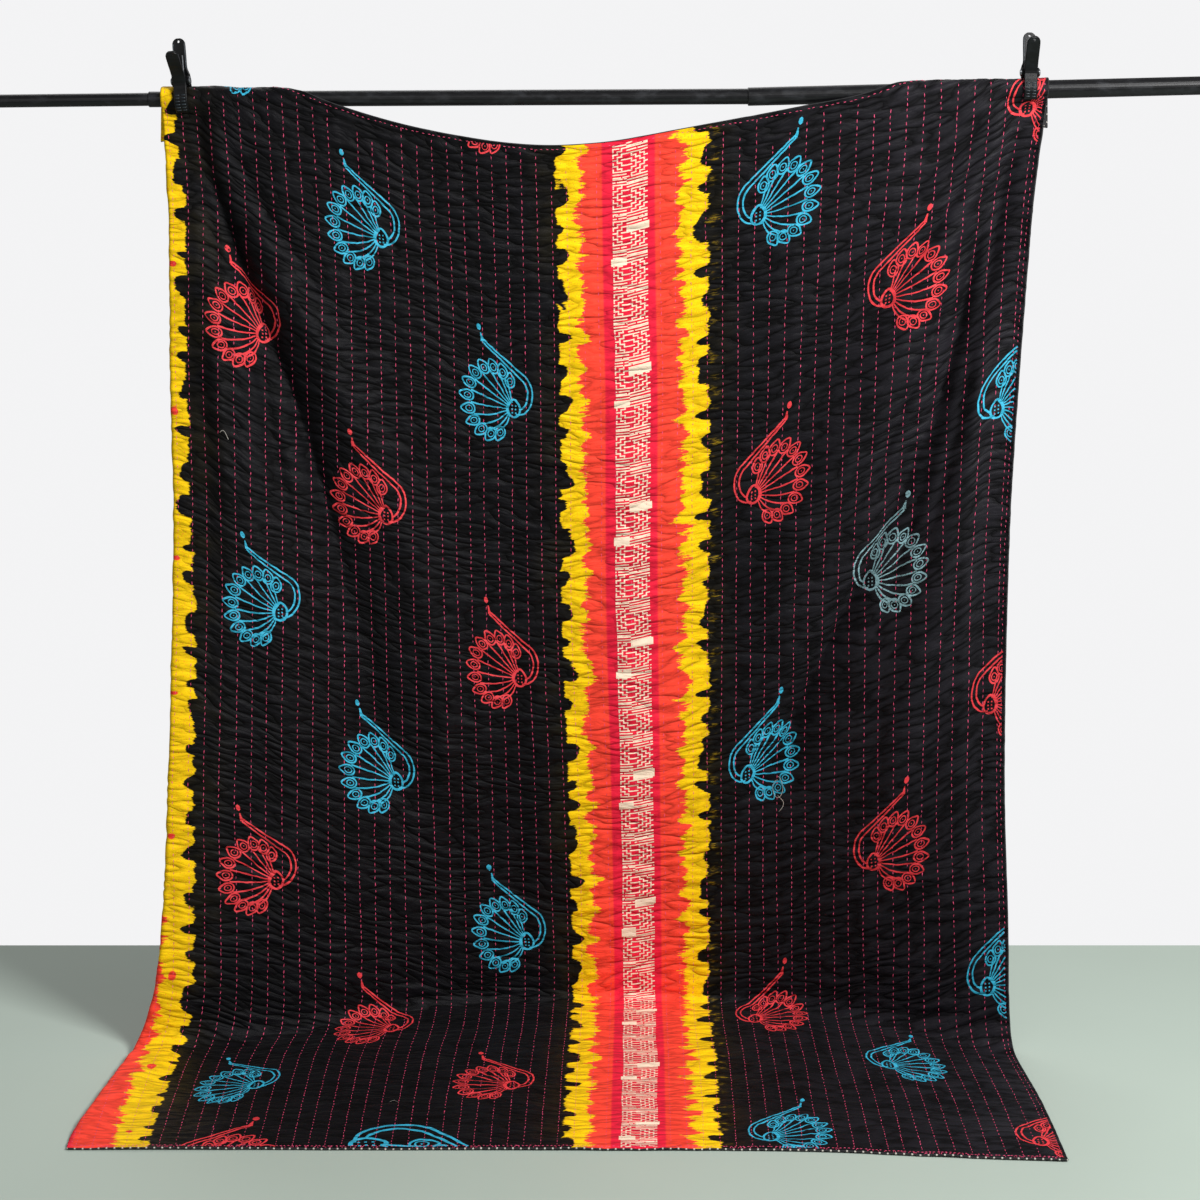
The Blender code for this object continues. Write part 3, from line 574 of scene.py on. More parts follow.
@dataclass
class Puckers:
    """The fine relief of the cloth: puffs between the lines, creases across, marks of storage."""

    stitching: Stitching
    puff: float = 0.0007
    puff_shares: Pair = (0.75, 0.25)
    crease: float = 0.0036
    crease_sway: float = 0.007
    crease_power: float = 0.65
    crease_amounts: Pair = (0.70, 0.30)
    crease_shares: Pair = (0.80, 0.20)
    stored: float = 0.0009
    stored_width: float = 0.006
    stored_places: tuple[float, ...] = (0.25, 0.5, 0.75)

    def __post_init__(self) -> None:
        """Draw the noise that the creases follow."""
        self.long_creases = Noise(21, 0.070, 0.0170)
        self.short_creases = Noise(22, 0.035, 0.0120)
        self.patches = Noise(23, 0.16, 0.13)
        self.sway = Noise(24, 0.10, 0.09)

    def puffs(self, u: Array, v: Array) -> Array:
        """How far each layer stands off the other, between the lines of stitches.

        Args:
            u: across the cloth.
            v: along it.

        Returns:
            The height of the puffs.
        """
        between = np.abs(np.sin(math.pi * self.stitching.line(u, v)))
        least, more = self.puff_shares
        return self.puff * between * (least + more * self.patches.at(u, v))

    def creases(self, u: Array, v: Array) -> Array:
        """How far the whole sheet stands forward, 0 or more.

        Args:
            u: across the cloth.
            v: along it.

        Returns:
            The height of the creases.
        """
        swayed = v + self.crease_sway * self.sway.at(u, v)
        long, short = self.long_creases.at(u, swayed), self.short_creases.at(u, swayed)
        pillows = np.abs(long) ** self.crease_power
        amount = self.crease_amounts[0] + self.crease_amounts[1] * self.patches.at(v, u)
        shares = self.crease_shares
        across = self.crease * amount * (shares[0] * pillows + shares[1] * (0.5 + 0.5 * short))
        marks = np.zeros_like(across)
        for share in self.stored_places:
            marks += np.exp(-(((u - share * QUILT_WIDTH) / self.stored_width) ** 2))
            marks += np.exp(-(((v - share * QUILT_LENGTH) / self.stored_width) ** 2))
        return across + self.stored * np.minimum(marks, 1.0)


@dataclass
class ClothGrid:
    """A surface of the cloth as a grid of points, rows along v and columns along u."""

    u: Array
    v: Array
    points: Array

    def __post_init__(self) -> None:
        """Work out the normals, which point out of the printed side."""
        along_u = np.gradient(self.points, axis=1)
        along_v = np.gradient(self.points, axis=0)
        self.normals = normalised(np.cross(along_u, along_v))

    def offset(self, distance: Array) -> "ClothGrid":
        """The surface moved along its normals."""
        moved = self.points + self.normals * np.asarray(distance)[..., None]
        return ClothGrid(self.u, self.v, moved)

    def flipped(self) -> "ClothGrid":
        """The surface seen from its other side.

        Returns:
            The same points, with their normals turned about.
        """
        other = ClothGrid(self.u, self.v, self.points)
        other.normals = -self.normals
        return other

    def subset(self, rows: Array, columns: Array) -> "ClothGrid":
        """The surface with only some of its rows and columns."""
        pick = np.ix_(rows, columns)
        return ClothGrid(self.u[pick], self.v[pick], self.points[pick])

    def mesh(self, facing: int = 1) -> "MeshData":
        """The surface as a mesh whose faces look along its normals, or against them for -1."""
        points, faces = self.points.reshape(-1, 3), grid_faces(*self.u.shape)[:, ::facing]
        return MeshData().add(points, faces, pairs(self.u.ravel(), self.v.ravel()))

    def at(self, u: Array, v: Array, lift: float | Array = 0.0) -> tuple[Array, Array]:
        """Find places on the surface.

        Args:
            u: across the cloth.
            v: along it.
            lift: how far to stand off the surface.

        Returns:
            The points, and the normals there.
        """
        rows, columns = self.u.shape
        u, v = np.asarray(u, float).ravel(), np.asarray(v, float).ravel()
        i_real = np.clip(v / QUILT_LENGTH * (rows - 1), 0, rows - 1.000001)
        i = i_real.astype(int)
        t = (i_real - i)[:, None]
        found = [np.empty((len(u), 2, 3)) for _ in range(2)]
        for row in np.unique(i):
            here = np.flatnonzero(i == row)
            for side in (0, 1):
                j_real = np.interp(u[here], self.u[row + side], np.arange(columns))
                j = np.minimum(j_real.astype(int), columns - 2)
                s = (j_real - j)[:, None]
                for out, values in zip(found, (self.points[row + side], self.normals[row + side])):
                    out[here, side] = values[j] * (1 - s) + values[j + 1] * s
        points, normals = (out[:, 0] * (1 - t) + out[:, 1] * t for out in found)
        normals = normalised(normals)
        return points + normals * np.broadcast_to(lift, len(u))[:, None], normals


class MeshData:
    """Points and faces gathered into one mesh, with the cloth's coordinates for each point."""

    def __init__(self) -> None:
        """Start empty."""
        self.points: list[Array] = []
        self.maps: list[Array] = []
        self.faces: list[Array] = []
        self.count = 0

    def add(self, points: Array, faces: Array, places: Array) -> "MeshData":
        """Add some faces.

        Args:
            points: rows of x, y, z.
            faces: rows of numbers of points, among these.
            places: rows of (u, v) for the points.

        Returns:
            The mesh itself.
        """
        self.points.append(np.asarray(points, float))
        self.faces.append(np.asarray(faces, int) + self.count)
        self.maps.append(np.asarray(places, float))
        self.count += len(points)
        return self

    def build(self, name: str, material: Material, baked: bool = False) -> Piece:
        """Make the object.

        Args:
            name: the piece's name.
            material: its finish.
            baked: whether it also gets a second flat map, the cloth's map scaled by the quilt's
                length, for baking its finish.

        Returns:
            The object, smooth shaded.
        """
        points, places = np.concatenate(self.points), np.concatenate(self.maps)
        points[:, 2] = np.maximum(points[:, 2], 0.0)
        faces = np.concatenate(self.faces)
        used, flat = np.unique(faces, return_inverse=True)
        points, places, corners = points[used], places[used], flat.ravel()
        mesh = bpy.data.meshes.new(name)
        mesh.vertices.add(len(points))
        mesh.vertices.foreach_set("co", points.astype(np.float32).ravel())
        mesh.loops.add(len(corners))
        mesh.loops.foreach_set("vertex_index", corners.astype(np.int32))
        mesh.polygons.add(len(faces))
        mesh.polygons.foreach_set("loop_start", np.arange(0, len(corners), 4, dtype=np.int32))
        mesh.polygons.foreach_set("loop_total", np.full(len(faces), 4, np.int32))
        mesh.update(calc_edges=True)
        layers = {CLOTH_MAP: places}
        if baked:
            layers[BAKE_MAP] = places / QUILT_LENGTH
        for layer, values in layers.items():
            made = mesh.uv_layers.new(name=layer)
            made.data.foreach_set("uv", values[corners].astype(np.float32).ravel())
        mesh.shade_smooth()
        mesh.materials.append(material)
        made = bpy.data.objects.new(name, mesh)
        bpy.context.scene.collection.objects.link(made)
        return made


def grid_faces(rows: int, columns: int) -> Array:
    """Quads of a grid of points, row by row, that look out of its normal side."""
    start = (np.arange(rows - 1)[:, None] * columns + np.arange(columns - 1)).ravel()
    return np.stack([start, start + 1, start + columns + 1, start + columns], axis=1)


class Drawing(MeshData):
    """Lines and marks drawn on the flat cloth.

    Its points hold how far they stand off the cloth, until the drawing is laid on it.
    """

    EDGE = 0.003  # strokes stop this short of the hems

    def __init__(self, lift: float) -> None:
        """Start empty, for strokes that stand so far off the cloth."""
        super().__init__()
        self.lift = lift

    def stroke(self, line: Array, width: float | Array) -> None:
        """Draw a stroke.

        Args:
            line: rows of (u, v) along it.
            width: of the stroke, along all of it or at each row.
        """
        way = normalised(np.gradient(line, axis=0))
        aside = turned_right(way) * (np.broadcast_to(width, len(line)) / 2)[:, None]
        places = np.concatenate([line - aside, line + aside])
        n = len(line)
        ends = (QUILT_WIDTH - self.EDGE, QUILT_LENGTH - self.EDGE)
        inside = np.all((places > self.EDGE) & (places < ends), axis=1)
        start = np.flatnonzero(inside[: n - 1] & inside[1:n] & inside[n:-1] & inside[n + 1 :])
        if len(start):
            faces = np.stack([start, start + n, start + n + 1, start + 1], axis=1)
            self.add(np.full(2 * n, self.lift), faces, places)

    def lay(self, cloth: ClothGrid, name: str, material: Material) -> Piece:
        """Lay the drawing on the cloth and make the object.

        Args:
            cloth: the surface it is laid on.
            name: the piece's name.
            material: its finish.

        Returns:
            The object.
        """
        places = np.concatenate(self.maps)
        points, _ = cloth.at(places[:, 0], places[:, 1], np.concatenate(self.points))
        self.points = [points]
        return self.build(name, material)


def srgb(red: float, green: float, blue: float) -> Colour:
    """A colour given as 0 to 255 on a screen, as linear light."""
    parts = [part / 255 for part in (red, green, blue)]
    return tuple(p / 12.92 if p <= 0.04045 else ((p + 0.055) / 1.055) ** 2.4 for p in parts)


class Grain(NamedTuple):
    """The scale of a noise each way over its map, its detail and its roughness."""

    x: float
    y: float
    detail: float
    rough: float = 0.5
    z: float = 1.0


class Graph:
    """Adds nodes to a node tree and links them."""

    def __init__(self, tree: Tree) -> None:
        """Work in this tree."""
        self.tree = tree

    def put(self, socket: Socket, value: object) -> None:
        """Link a socket to another, or set what it holds.

        Args:
            socket: the one that takes the value.
            value: another socket, or what to set.
        """
        if isinstance(value, bpy.types.NodeSocket):
            self.tree.links.new(value, socket)
        elif isinstance(value, tuple) and socket.type == "RGBA":
            socket.default_value = (*value[:3], 1.0)
        else:
            socket.default_value = value

    def node(self, kind: str, inputs: dict | None = None, **settings: object) -> Node:
        """Add a node.

        Args:
            kind: its type, without the ShaderNode in front.
            inputs: what goes into its sockets, by their name or number.
            **settings: its other properties.

        Returns:
            The node.
        """
        made = self.tree.nodes.new("ShaderNode" + kind)
        for name, value in settings.items():
            setattr(made, name, value)
        for socket, value in (inputs or {}).items():
            self.put(made.inputs[socket], value)
        return made

    def math(self, operation: str, a: Value, b: Value = 0.0, c: Value = 0.0) -> Socket:
        """Arithmetic on up to three values."""
        return self.node("Math", {0: a, 1: b, 2: c}, operation=operation).outputs[0]

    def times(self, a: Value, b: Value) -> Socket:
        """One value times another."""
        return self.math("MULTIPLY", a, b)

    def plus(self, a: Value, by: Value, b: Value) -> Socket:
        """One value times another, plus a third."""
        return self.math("MULTIPLY_ADD", a, by, b)

    def less(self, a: Value, b: Value) -> Socket:
        """One value less another."""
        return self.math("SUBTRACT", a, b)

    def beyond(self, mask: Value) -> Socket:
        """A mask the other way round."""
        return self.math("SUBTRACT", 1.0, mask)

    def mix(self, share: Value, a: object, b: object) -> Socket:
        """A colour between two others."""
        return self.node("Mix", {0: share, 6: a, 7: b}, data_type="RGBA").outputs[2]

    def scale(self, vector: Socket, by: Value) -> Socket:
        """A vector or a colour, times one value."""
        return self.node("VectorMath", {0: vector, 3: by}, operation="SCALE").outputs[0]

    def parts(self, vector: Socket) -> Sequence[Socket]:
        """x, y and z of a vector."""
        return self.node("SeparateXYZ", {0: vector}).outputs

    def step(self, value: Value, edge: Value, feather: float) -> Socket:
        """0 below an edge and 1 past it, with a soft change as far as feather to each side."""
        inputs = {0: value, 1: self.less(edge, feather), 2: self.math("ADD", edge, feather)}
        return self.node("MapRange", inputs, interpolation_type="SMOOTHSTEP").outputs[0]

    def noise(self, vector: Socket, grain: Grain) -> Socket:
        """Noise from 0 to 1.

        Args:
            vector: the map that it lies on.
            grain: its sizes.

        Returns:
            The noise.
        """
        stretch = {0: vector, 1: (grain.x, grain.y, grain.z)}
        moved = self.node("VectorMath", stretch, operation="MULTIPLY").outputs[0]
        inputs = {"Vector": moved, "Scale": 1.0, "Detail": grain.detail, "Roughness": grain.rough}
        return self.node("TexNoise", inputs).outputs[0]

    def cloth_map(self) -> Socket:
        """The place on the flat cloth, in metres."""
        return self.node("UVMap", uv_map=CLOTH_MAP).outputs[0]


class GroupSocket(NamedTuple):
    """One socket of a node group. kind is what follows NodeSocket in the name of its type."""

    name: str
    kind: str
    value: object = None


class DyeColour(Enum):
    """The colours of the dyed cloth, by the name of their group socket."""

    BLACK = "Black"
    YELLOW = "Yellow"
    CORAL = "Coral"
    CRIMSON = "Crimson"


class Side(Enum):
    """The three places where black meets dye. Above 0, the dye lies to the right."""

    BORDER = -1
    STRIPE_LEFT = 1
    STRIPE_RIGHT = -2


class DyeEdge(NamedTuple):
    """Where one dye gives way to the next across the cloth.

    reach is how far its teeth stray, and share is how much of the lobes of its side it follows.
    """

    u: float
    reach: float
    feather: float
    into: DyeColour
    side: Side | None = None
    share: float = 0.0


class Lobe(NamedTuple):
    """A rounded tongue of black that reaches into the dye once in each repeat."""

    side: Side
    v: float
    reach: float
    half: float


class Rise(NamedTuple):
    """A soft step along the cloth: where it is, how soft, and how far it goes."""

    v: float
    feather: float
    reach: float


#           u     reach   feather
DYE_EDGES = (
    DyeEdge(0.006, 0.004, 0.0060, DyeColour.CORAL),
    DyeEdge(0.070, 0.012, 0.0012, DyeColour.YELLOW, Side.BORDER, 0.55),
    DyeEdge(0.121, 0.005, 0.0013, DyeColour.BLACK, Side.BORDER, 1.0),
    DyeEdge(0.746, 0.005, 0.0013, DyeColour.YELLOW, Side.STRIPE_LEFT, 1.0),
    DyeEdge(0.781, 0.014, 0.0012, DyeColour.CORAL, Side.STRIPE_LEFT, 0.55),
    DyeEdge(0.820, 0.000, 0.0020, DyeColour.CRIMSON),
    DyeEdge(0.905, 0.000, 0.0020, DyeColour.CORAL),
    DyeEdge(0.949, 0.017, 0.0012, DyeColour.YELLOW, Side.STRIPE_RIGHT, 0.45),
    DyeEdge(0.990, 0.006, 0.0013, DyeColour.BLACK, Side.STRIPE_RIGHT, 1.0),
)
DYE_REPEAT = 0.226
LOBES = (
    Lobe(Side.BORDER, 0.024, 0.019, 0.014),
    Lobe(Side.BORDER, 0.082, 0.013, 0.010),
    Lobe(Side.BORDER, 0.133, 0.020, 0.013),
    Lobe(Side.BORDER, 0.190, 0.014, 0.014),
    Lobe(Side.STRIPE_LEFT, 0.018, 0.021, 0.015),
    Lobe(Side.STRIPE_LEFT, 0.068, 0.012, 0.011),
    Lobe(Side.STRIPE_LEFT, 0.120, 0.020, 0.016),
    Lobe(Side.STRIPE_LEFT, 0.184, 0.015, 0.015),
    Lobe(Side.STRIPE_RIGHT, 0.040, 0.023, 0.015),
    Lobe(Side.STRIPE_RIGHT, 0.092, 0.015, 0.012),
    Lobe(Side.STRIPE_RIGHT, 0.146, 0.012, 0.016),
    Lobe(Side.STRIPE_RIGHT, 0.200, 0.021, 0.013),
)
LOBE_REACH = max(lobe.reach for lobe in LOBES)
LOBE_HALF = ((0.0, 1.0), (0.5, 0.87), (0.85, 0.53), (1.0, 0.0))  # place and height, from its crest
BORDER_RISES = (Rise(1.15, 0.16, 0.013), Rise(1.80, 0.08, 0.009))  # the border narrows upwards


class GroupBase:
    """What every shared node group is made from: its graph and its sockets."""

    @staticmethod
    def start(
        name: str, inputs: Sequence[GroupSocket], outputs: Sequence[GroupSocket]
    ) -> tuple[Graph, Sockets, Sockets]:
        """Begin a group.

        Args:
            name: of the group.
            inputs: its sockets in, after the Map that each group has.
            outputs: its sockets out.

        Returns:
            Its graph, and its inner sockets in and out by name.
        """
        tree = bpy.data.node_groups.new(name, "ShaderNodeTree")
        inputs = (GroupSocket("Map", "Vector"), *inputs)
        for way, sockets in (("INPUT", inputs), ("OUTPUT", outputs)):
            for socket in sockets:
                kind = "NodeSocket" + socket.kind
                made = tree.interface.new_socket(name=socket.name, in_out=way, socket_type=kind)
                if socket.value is not None:
                    made.default_value = socket.value
        sources = tree.nodes.new("NodeGroupInput").outputs
        ends = tree.nodes.new("NodeGroupOutput").inputs
        given = {socket.name: sources[socket.name] for socket in inputs}
        return Graph(tree), given, {socket.name: ends[socket.name] for socket in outputs}


@dataclass(frozen=True)
class CottonWeave(GroupBase):
    """Threads and crumples of cotton: their height, and masks of thick threads and crests."""

    thread_height: float = 0.00004
    slub: Grain = Grain(60.0, 900.0, 1.0)
    sway: Grain = Grain(7.0, 9.0, 0.0)
    sway_reach: float = 0.035
    crumples: tuple[Grain, Grain] = (Grain(12.0, 46.0, 1.0), Grain(34.0, 105.0, 1.0))
    power: float = 0.65
    heights: Pair = (0.0085, 0.0017)
    short_share: float = 0.4
    raised: Pair = (0.22, 0.13)

    def build(self) -> Tree:
        """Build the group.

        Returns:
            The group.
        """
        graph, given, out = self.start(
            "CottonWeave",
            (GroupSocket("Threads", "Float", 1500.0), GroupSocket("Crumple", "Float", 1.0)),
            [GroupSocket(name, "Float") for name in ("Height", "Slub", "Raised")],
        )
        place = graph.parts(given["Map"])
        turns = graph.times(given["Threads"], 2 * math.pi)
        warp, weft = (graph.math("SINE", graph.times(part, turns)) for part in place[:2])
        threads = graph.times(graph.times(warp, weft), self.thread_height)
        sway = graph.less(graph.noise(given["Map"], self.sway), 0.5)
        moved_v = graph.plus(sway, self.sway_reach, place[1])
        swayed = graph.node("CombineXYZ", {0: place[0], 1: moved_v}).outputs[0]
        waves = (graph.less(graph.noise(swayed, grain), 0.5) for grain in self.crumples)
        long, short = (
            graph.math("POWER", graph.math("ABSOLUTE", wave), self.power) for wave in waves
        )
        crumple = graph.plus(short, self.heights[1], graph.times(long, self.heights[0]))
        graph.put(out["Height"], graph.plus(crumple, given["Crumple"], threads))
        raised = graph.plus(short, self.short_share, long)
        graph.put(out["Raised"], graph.step(raised, *self.raised))
        graph.put(out["Slub"], graph.noise(given["Map"], self.slub))
        return graph.tree


@dataclass(frozen=True)
class DyedCloth(GroupBase):
    """The dyes across the cloth, their teeth and spots, and a mask of all that isn't black."""

    tongues: Grain = Grain(16.0, 52.0, 2.0, 0.55)
    streaks: Grain = Grain(60.0, 340.0, 4.0, 0.7)
    drift: Grain = Grain(5.0, 13.0, 1.0)
    streak_share: float = 0.60
    ragged_middle: float = 0.80
    ragged_reach: float = 4.2
    drift_reach: float = 0.110
    streak_reach: float = 0.006
    lobe_uneven: Pair = (1.4, 0.3)
    spot_place: Pair = (0.086, 0.055)
    spot_radius: float = 0.006
    spot_ragged: float = 2.5
    spot_feather: float = 0.35
    spots_end: Pair = (1.72, 0.02)
    fleck_u: float = 0.998
    fleck_fade: float = -12.0
    fleck_streak: Pair = (0.50, 0.08)
    fleck_tongue: Pair = (0.56, 0.06)
    fleck_strength: float = 0.35

    def build(self) -> Tree:
        """Build the group.

        Returns:
            The group.
        """
        graph, given, out = self.start(
            "DyedCloth",
            [GroupSocket(dye.value, "Color") for dye in DyeColour],
            (GroupSocket("Colour", "Color"), GroupSocket("Dyed", "Float")),
        )
        place = graph.parts(given["Map"])
        grains = (self.tongues, self.streaks, self.drift)
        tongues, streaks, drift = (graph.noise(given["Map"], grain) for grain in grains)
        ragged = graph.less(graph.plus(streaks, self.streak_share, tongues), self.ragged_middle)
        swayed = graph.plus(graph.less(drift, 0.5), self.drift_reach, place[1])
        swayed = graph.plus(graph.less(streaks, 0.5), self.streak_reach, swayed)
        uneven = graph.plus(drift, *self.lobe_uneven)
        lobes = {side: graph.times(self.lobes(graph, swayed, side), uneven) for side in Side}
        narrowed: Value = 0.0
        for rise in BORDER_RISES:
            narrowed = graph.plus(graph.step(place[1], rise.v, rise.feather), rise.reach, narrowed)
        colour, dyed = given[DyeColour.CRIMSON.value], 1.0
        for edge in DYE_EDGES:
            moved = graph.plus(ragged, self.ragged_reach * edge.reach, place[0])
            if edge.side is Side.BORDER:
                moved = graph.plus(narrowed, edge.share, moved)
            if edge.side is not None:
                way = math.copysign(edge.share, -edge.side.value)
                moved = graph.plus(lobes[edge.side], way, moved)
            past = graph.step(moved, edge.u, edge.feather)
            colour = graph.mix(past, colour, given[edge.into.value])
            kept = graph.times(dyed, graph.beyond(past))
            dyed = graph.plus(past, float(edge.into is not DyeColour.BLACK), kept)
        spots = self.spots(graph, place[0], swayed, ragged)
        spots = graph.times(spots, graph.beyond(graph.step(place[1], *self.spots_end)))
        colour = graph.mix(spots, colour, given[DyeColour.CORAL.value])
        band = graph.math("ABSOLUTE", graph.less(place[0], self.fleck_u))
        streaked = graph.step(graph.plus(band, self.fleck_fade, streaks), *self.fleck_streak)
        flecks = graph.times(streaked, graph.step(tongues, *self.fleck_tongue))
        flecks = graph.times(flecks, self.fleck_strength)
        graph.put(out["Colour"], graph.mix(flecks, colour, given[DyeColour.YELLOW.value]))
        graph.put(out["Dyed"], dyed)
        return graph.tree

    def spots(self, graph: Graph, u: Socket, v: Socket, ragged: Socket) -> Socket:
        """Round spots of dye, one in each repeat.

        Args:
            graph: where they are made.
            u: the place across the cloth.
            v: the place along it.
            ragged: what frays their rims.

        Returns:
            Their mask.
        """
        moved = graph.less(v, self.spot_place[1] - DYE_REPEAT / 2)
        along = graph.less(graph.math("FLOORED_MODULO", moved, DYE_REPEAT), DYE_REPEAT / 2)
        squares = []
        for part in (graph.less(u, self.spot_place[0]), along):
            share = graph.math("ABSOLUTE", graph.math("DIVIDE", part, self.spot_radius))
            squares.append(graph.math("POWER", share, 2.0))
        frayed = graph.plus(ragged, self.spot_ragged, graph.math("ADD", *squares))
        return graph.beyond(graph.step(frayed, 1.0, self.spot_feather))

    @staticmethod
    def lobes(graph: Graph, v: Socket, side: Side) -> Socket:
        """The rounded tongues of black on one side.

        Args:
            graph: where they are made.
            v: the place along the cloth.
            side: which side's.

        Returns:
            How far they reach at v.
        """
        ramp = graph.node("ValToRGB", {0: graph.math("FRACT", graph.math("DIVIDE", v, DYE_REPEAT))})
        stops = ramp.color_ramp.elements
        stops.remove(stops[-1])
        stops[0].color = (0.0, 0.0, 0.0, 1.0)
        outline = [(-part, high) for part, high in LOBE_HALF[:0:-1]] + list(LOBE_HALF)
        for lobe in (lobe for lobe in LOBES if lobe.side is side):
            for part, high in outline:
                level = high * lobe.reach / LOBE_REACH
                stop = stops.new((lobe.v + part * lobe.half) / DYE_REPEAT)
                stop.color = (level, level, level, 1.0)
        return graph.times(ramp.outputs[0], LOBE_REACH)


@dataclass(frozen=True)
class FineWear(GroupBase):
    """Handling marks on hard parts: a mask of rubbed places, and the height of a fine grain."""

    rubbed: Grain = Grain(35.0, 70.0, 5.0, 0.65, 70.0)
    rubbed_edge: Pair = (0.58, 0.12)
    grain_detail: float = 2.0

    def build(self) -> Tree:
        """Build the group.

        Returns:
            The group.
        """
        graph, given, out = self.start(
            "FineWear",
            [GroupSocket("Grain", "Float", 900.0)],
            (GroupSocket("Rubbed", "Float"), GroupSocket("Height", "Float")),
        )
        rubbed = graph.noise(given["Map"], self.rubbed)
        graph.put(out["Rubbed"], graph.step(rubbed, *self.rubbed_edge))
        moved = graph.scale(given["Map"], given["Grain"])
        inputs = {"Vector": moved, "Scale": 1.0, "Detail": self.grain_detail}
        graph.put(out["Height"], graph.node("TexNoise", inputs).outputs[0])
        return graph.tree


class Groups:
    """The node groups that several materials share, each built once."""

    def __init__(self) -> None:
        """Build them all."""
        self.weave, self.dye = CottonWeave().build(), DyedCloth().build()
        self.wear = FineWear().build()


class Coat(Graph):
    """The graph of one material, with its shader and the shared groups."""

    def __init__(self, material: Material, groups: Groups) -> None:
        """Work in this material."""
        super().__init__(material.node_tree)
        self.shader, self.groups = self.tree.nodes["Principled BSDF"], groups

    def shade(self, values: dict[str, object]) -> None:
        """Set or link sockets of the shader, by name."""
        for name, value in values.items():
            self.put(self.shader.inputs[name], value)

    def group(self, tree: Tree, inputs: dict[str, object]) -> Sockets:
        """Place a shared group.

        Args:
            tree: the group.
            inputs: what goes into its sockets, by name.

        Returns:
            Its sockets out, by name.
        """
        made = self.node("Group")
        made.node_tree = tree
        for name, value in inputs.items():
            self.put(made.inputs[name], value)
        return {socket.name: socket for socket in made.outputs}

    def bump(self, height: Socket, depth: float, strength: float) -> None:
        """Small relief, of a height that stands out by depth where it is 1."""
        inputs = {"Height": height, "Distance": depth, "Strength": strength}
        self.shade({"Normal": self.node("Bump", inputs).outputs[0]})

    def woven(
        self, threads: float = 1400.0, crumple: float = 1.0, strength: float = 1.0
    ) -> Sockets:
        """The relief of woven cotton.

        Args:
            threads: how many threads there are to a metre.
            crumple: how much it is crumpled.
            strength: how much of the relief shows.

        Returns:
            The weave's sockets out, by name.
        """
        inputs = {"Map": self.cloth_map(), "Threads": threads, "Crumple": crumple}
        weave = self.group(self.groups.weave, inputs)
        self.bump(weave["Height"], 1.0, strength)
        return weave


class FinishBase:
    """What every finish shares. Each has a name and a paint method."""

    def make(self, groups: Groups) -> Material:
        """Build the material.

        Args:
            groups: the shared node groups.

        Returns:
            The material.
        """
        made = bpy.data.materials.new(self.name)
        made.use_nodes = True
        self.paint(Coat(made, groups))
        return made


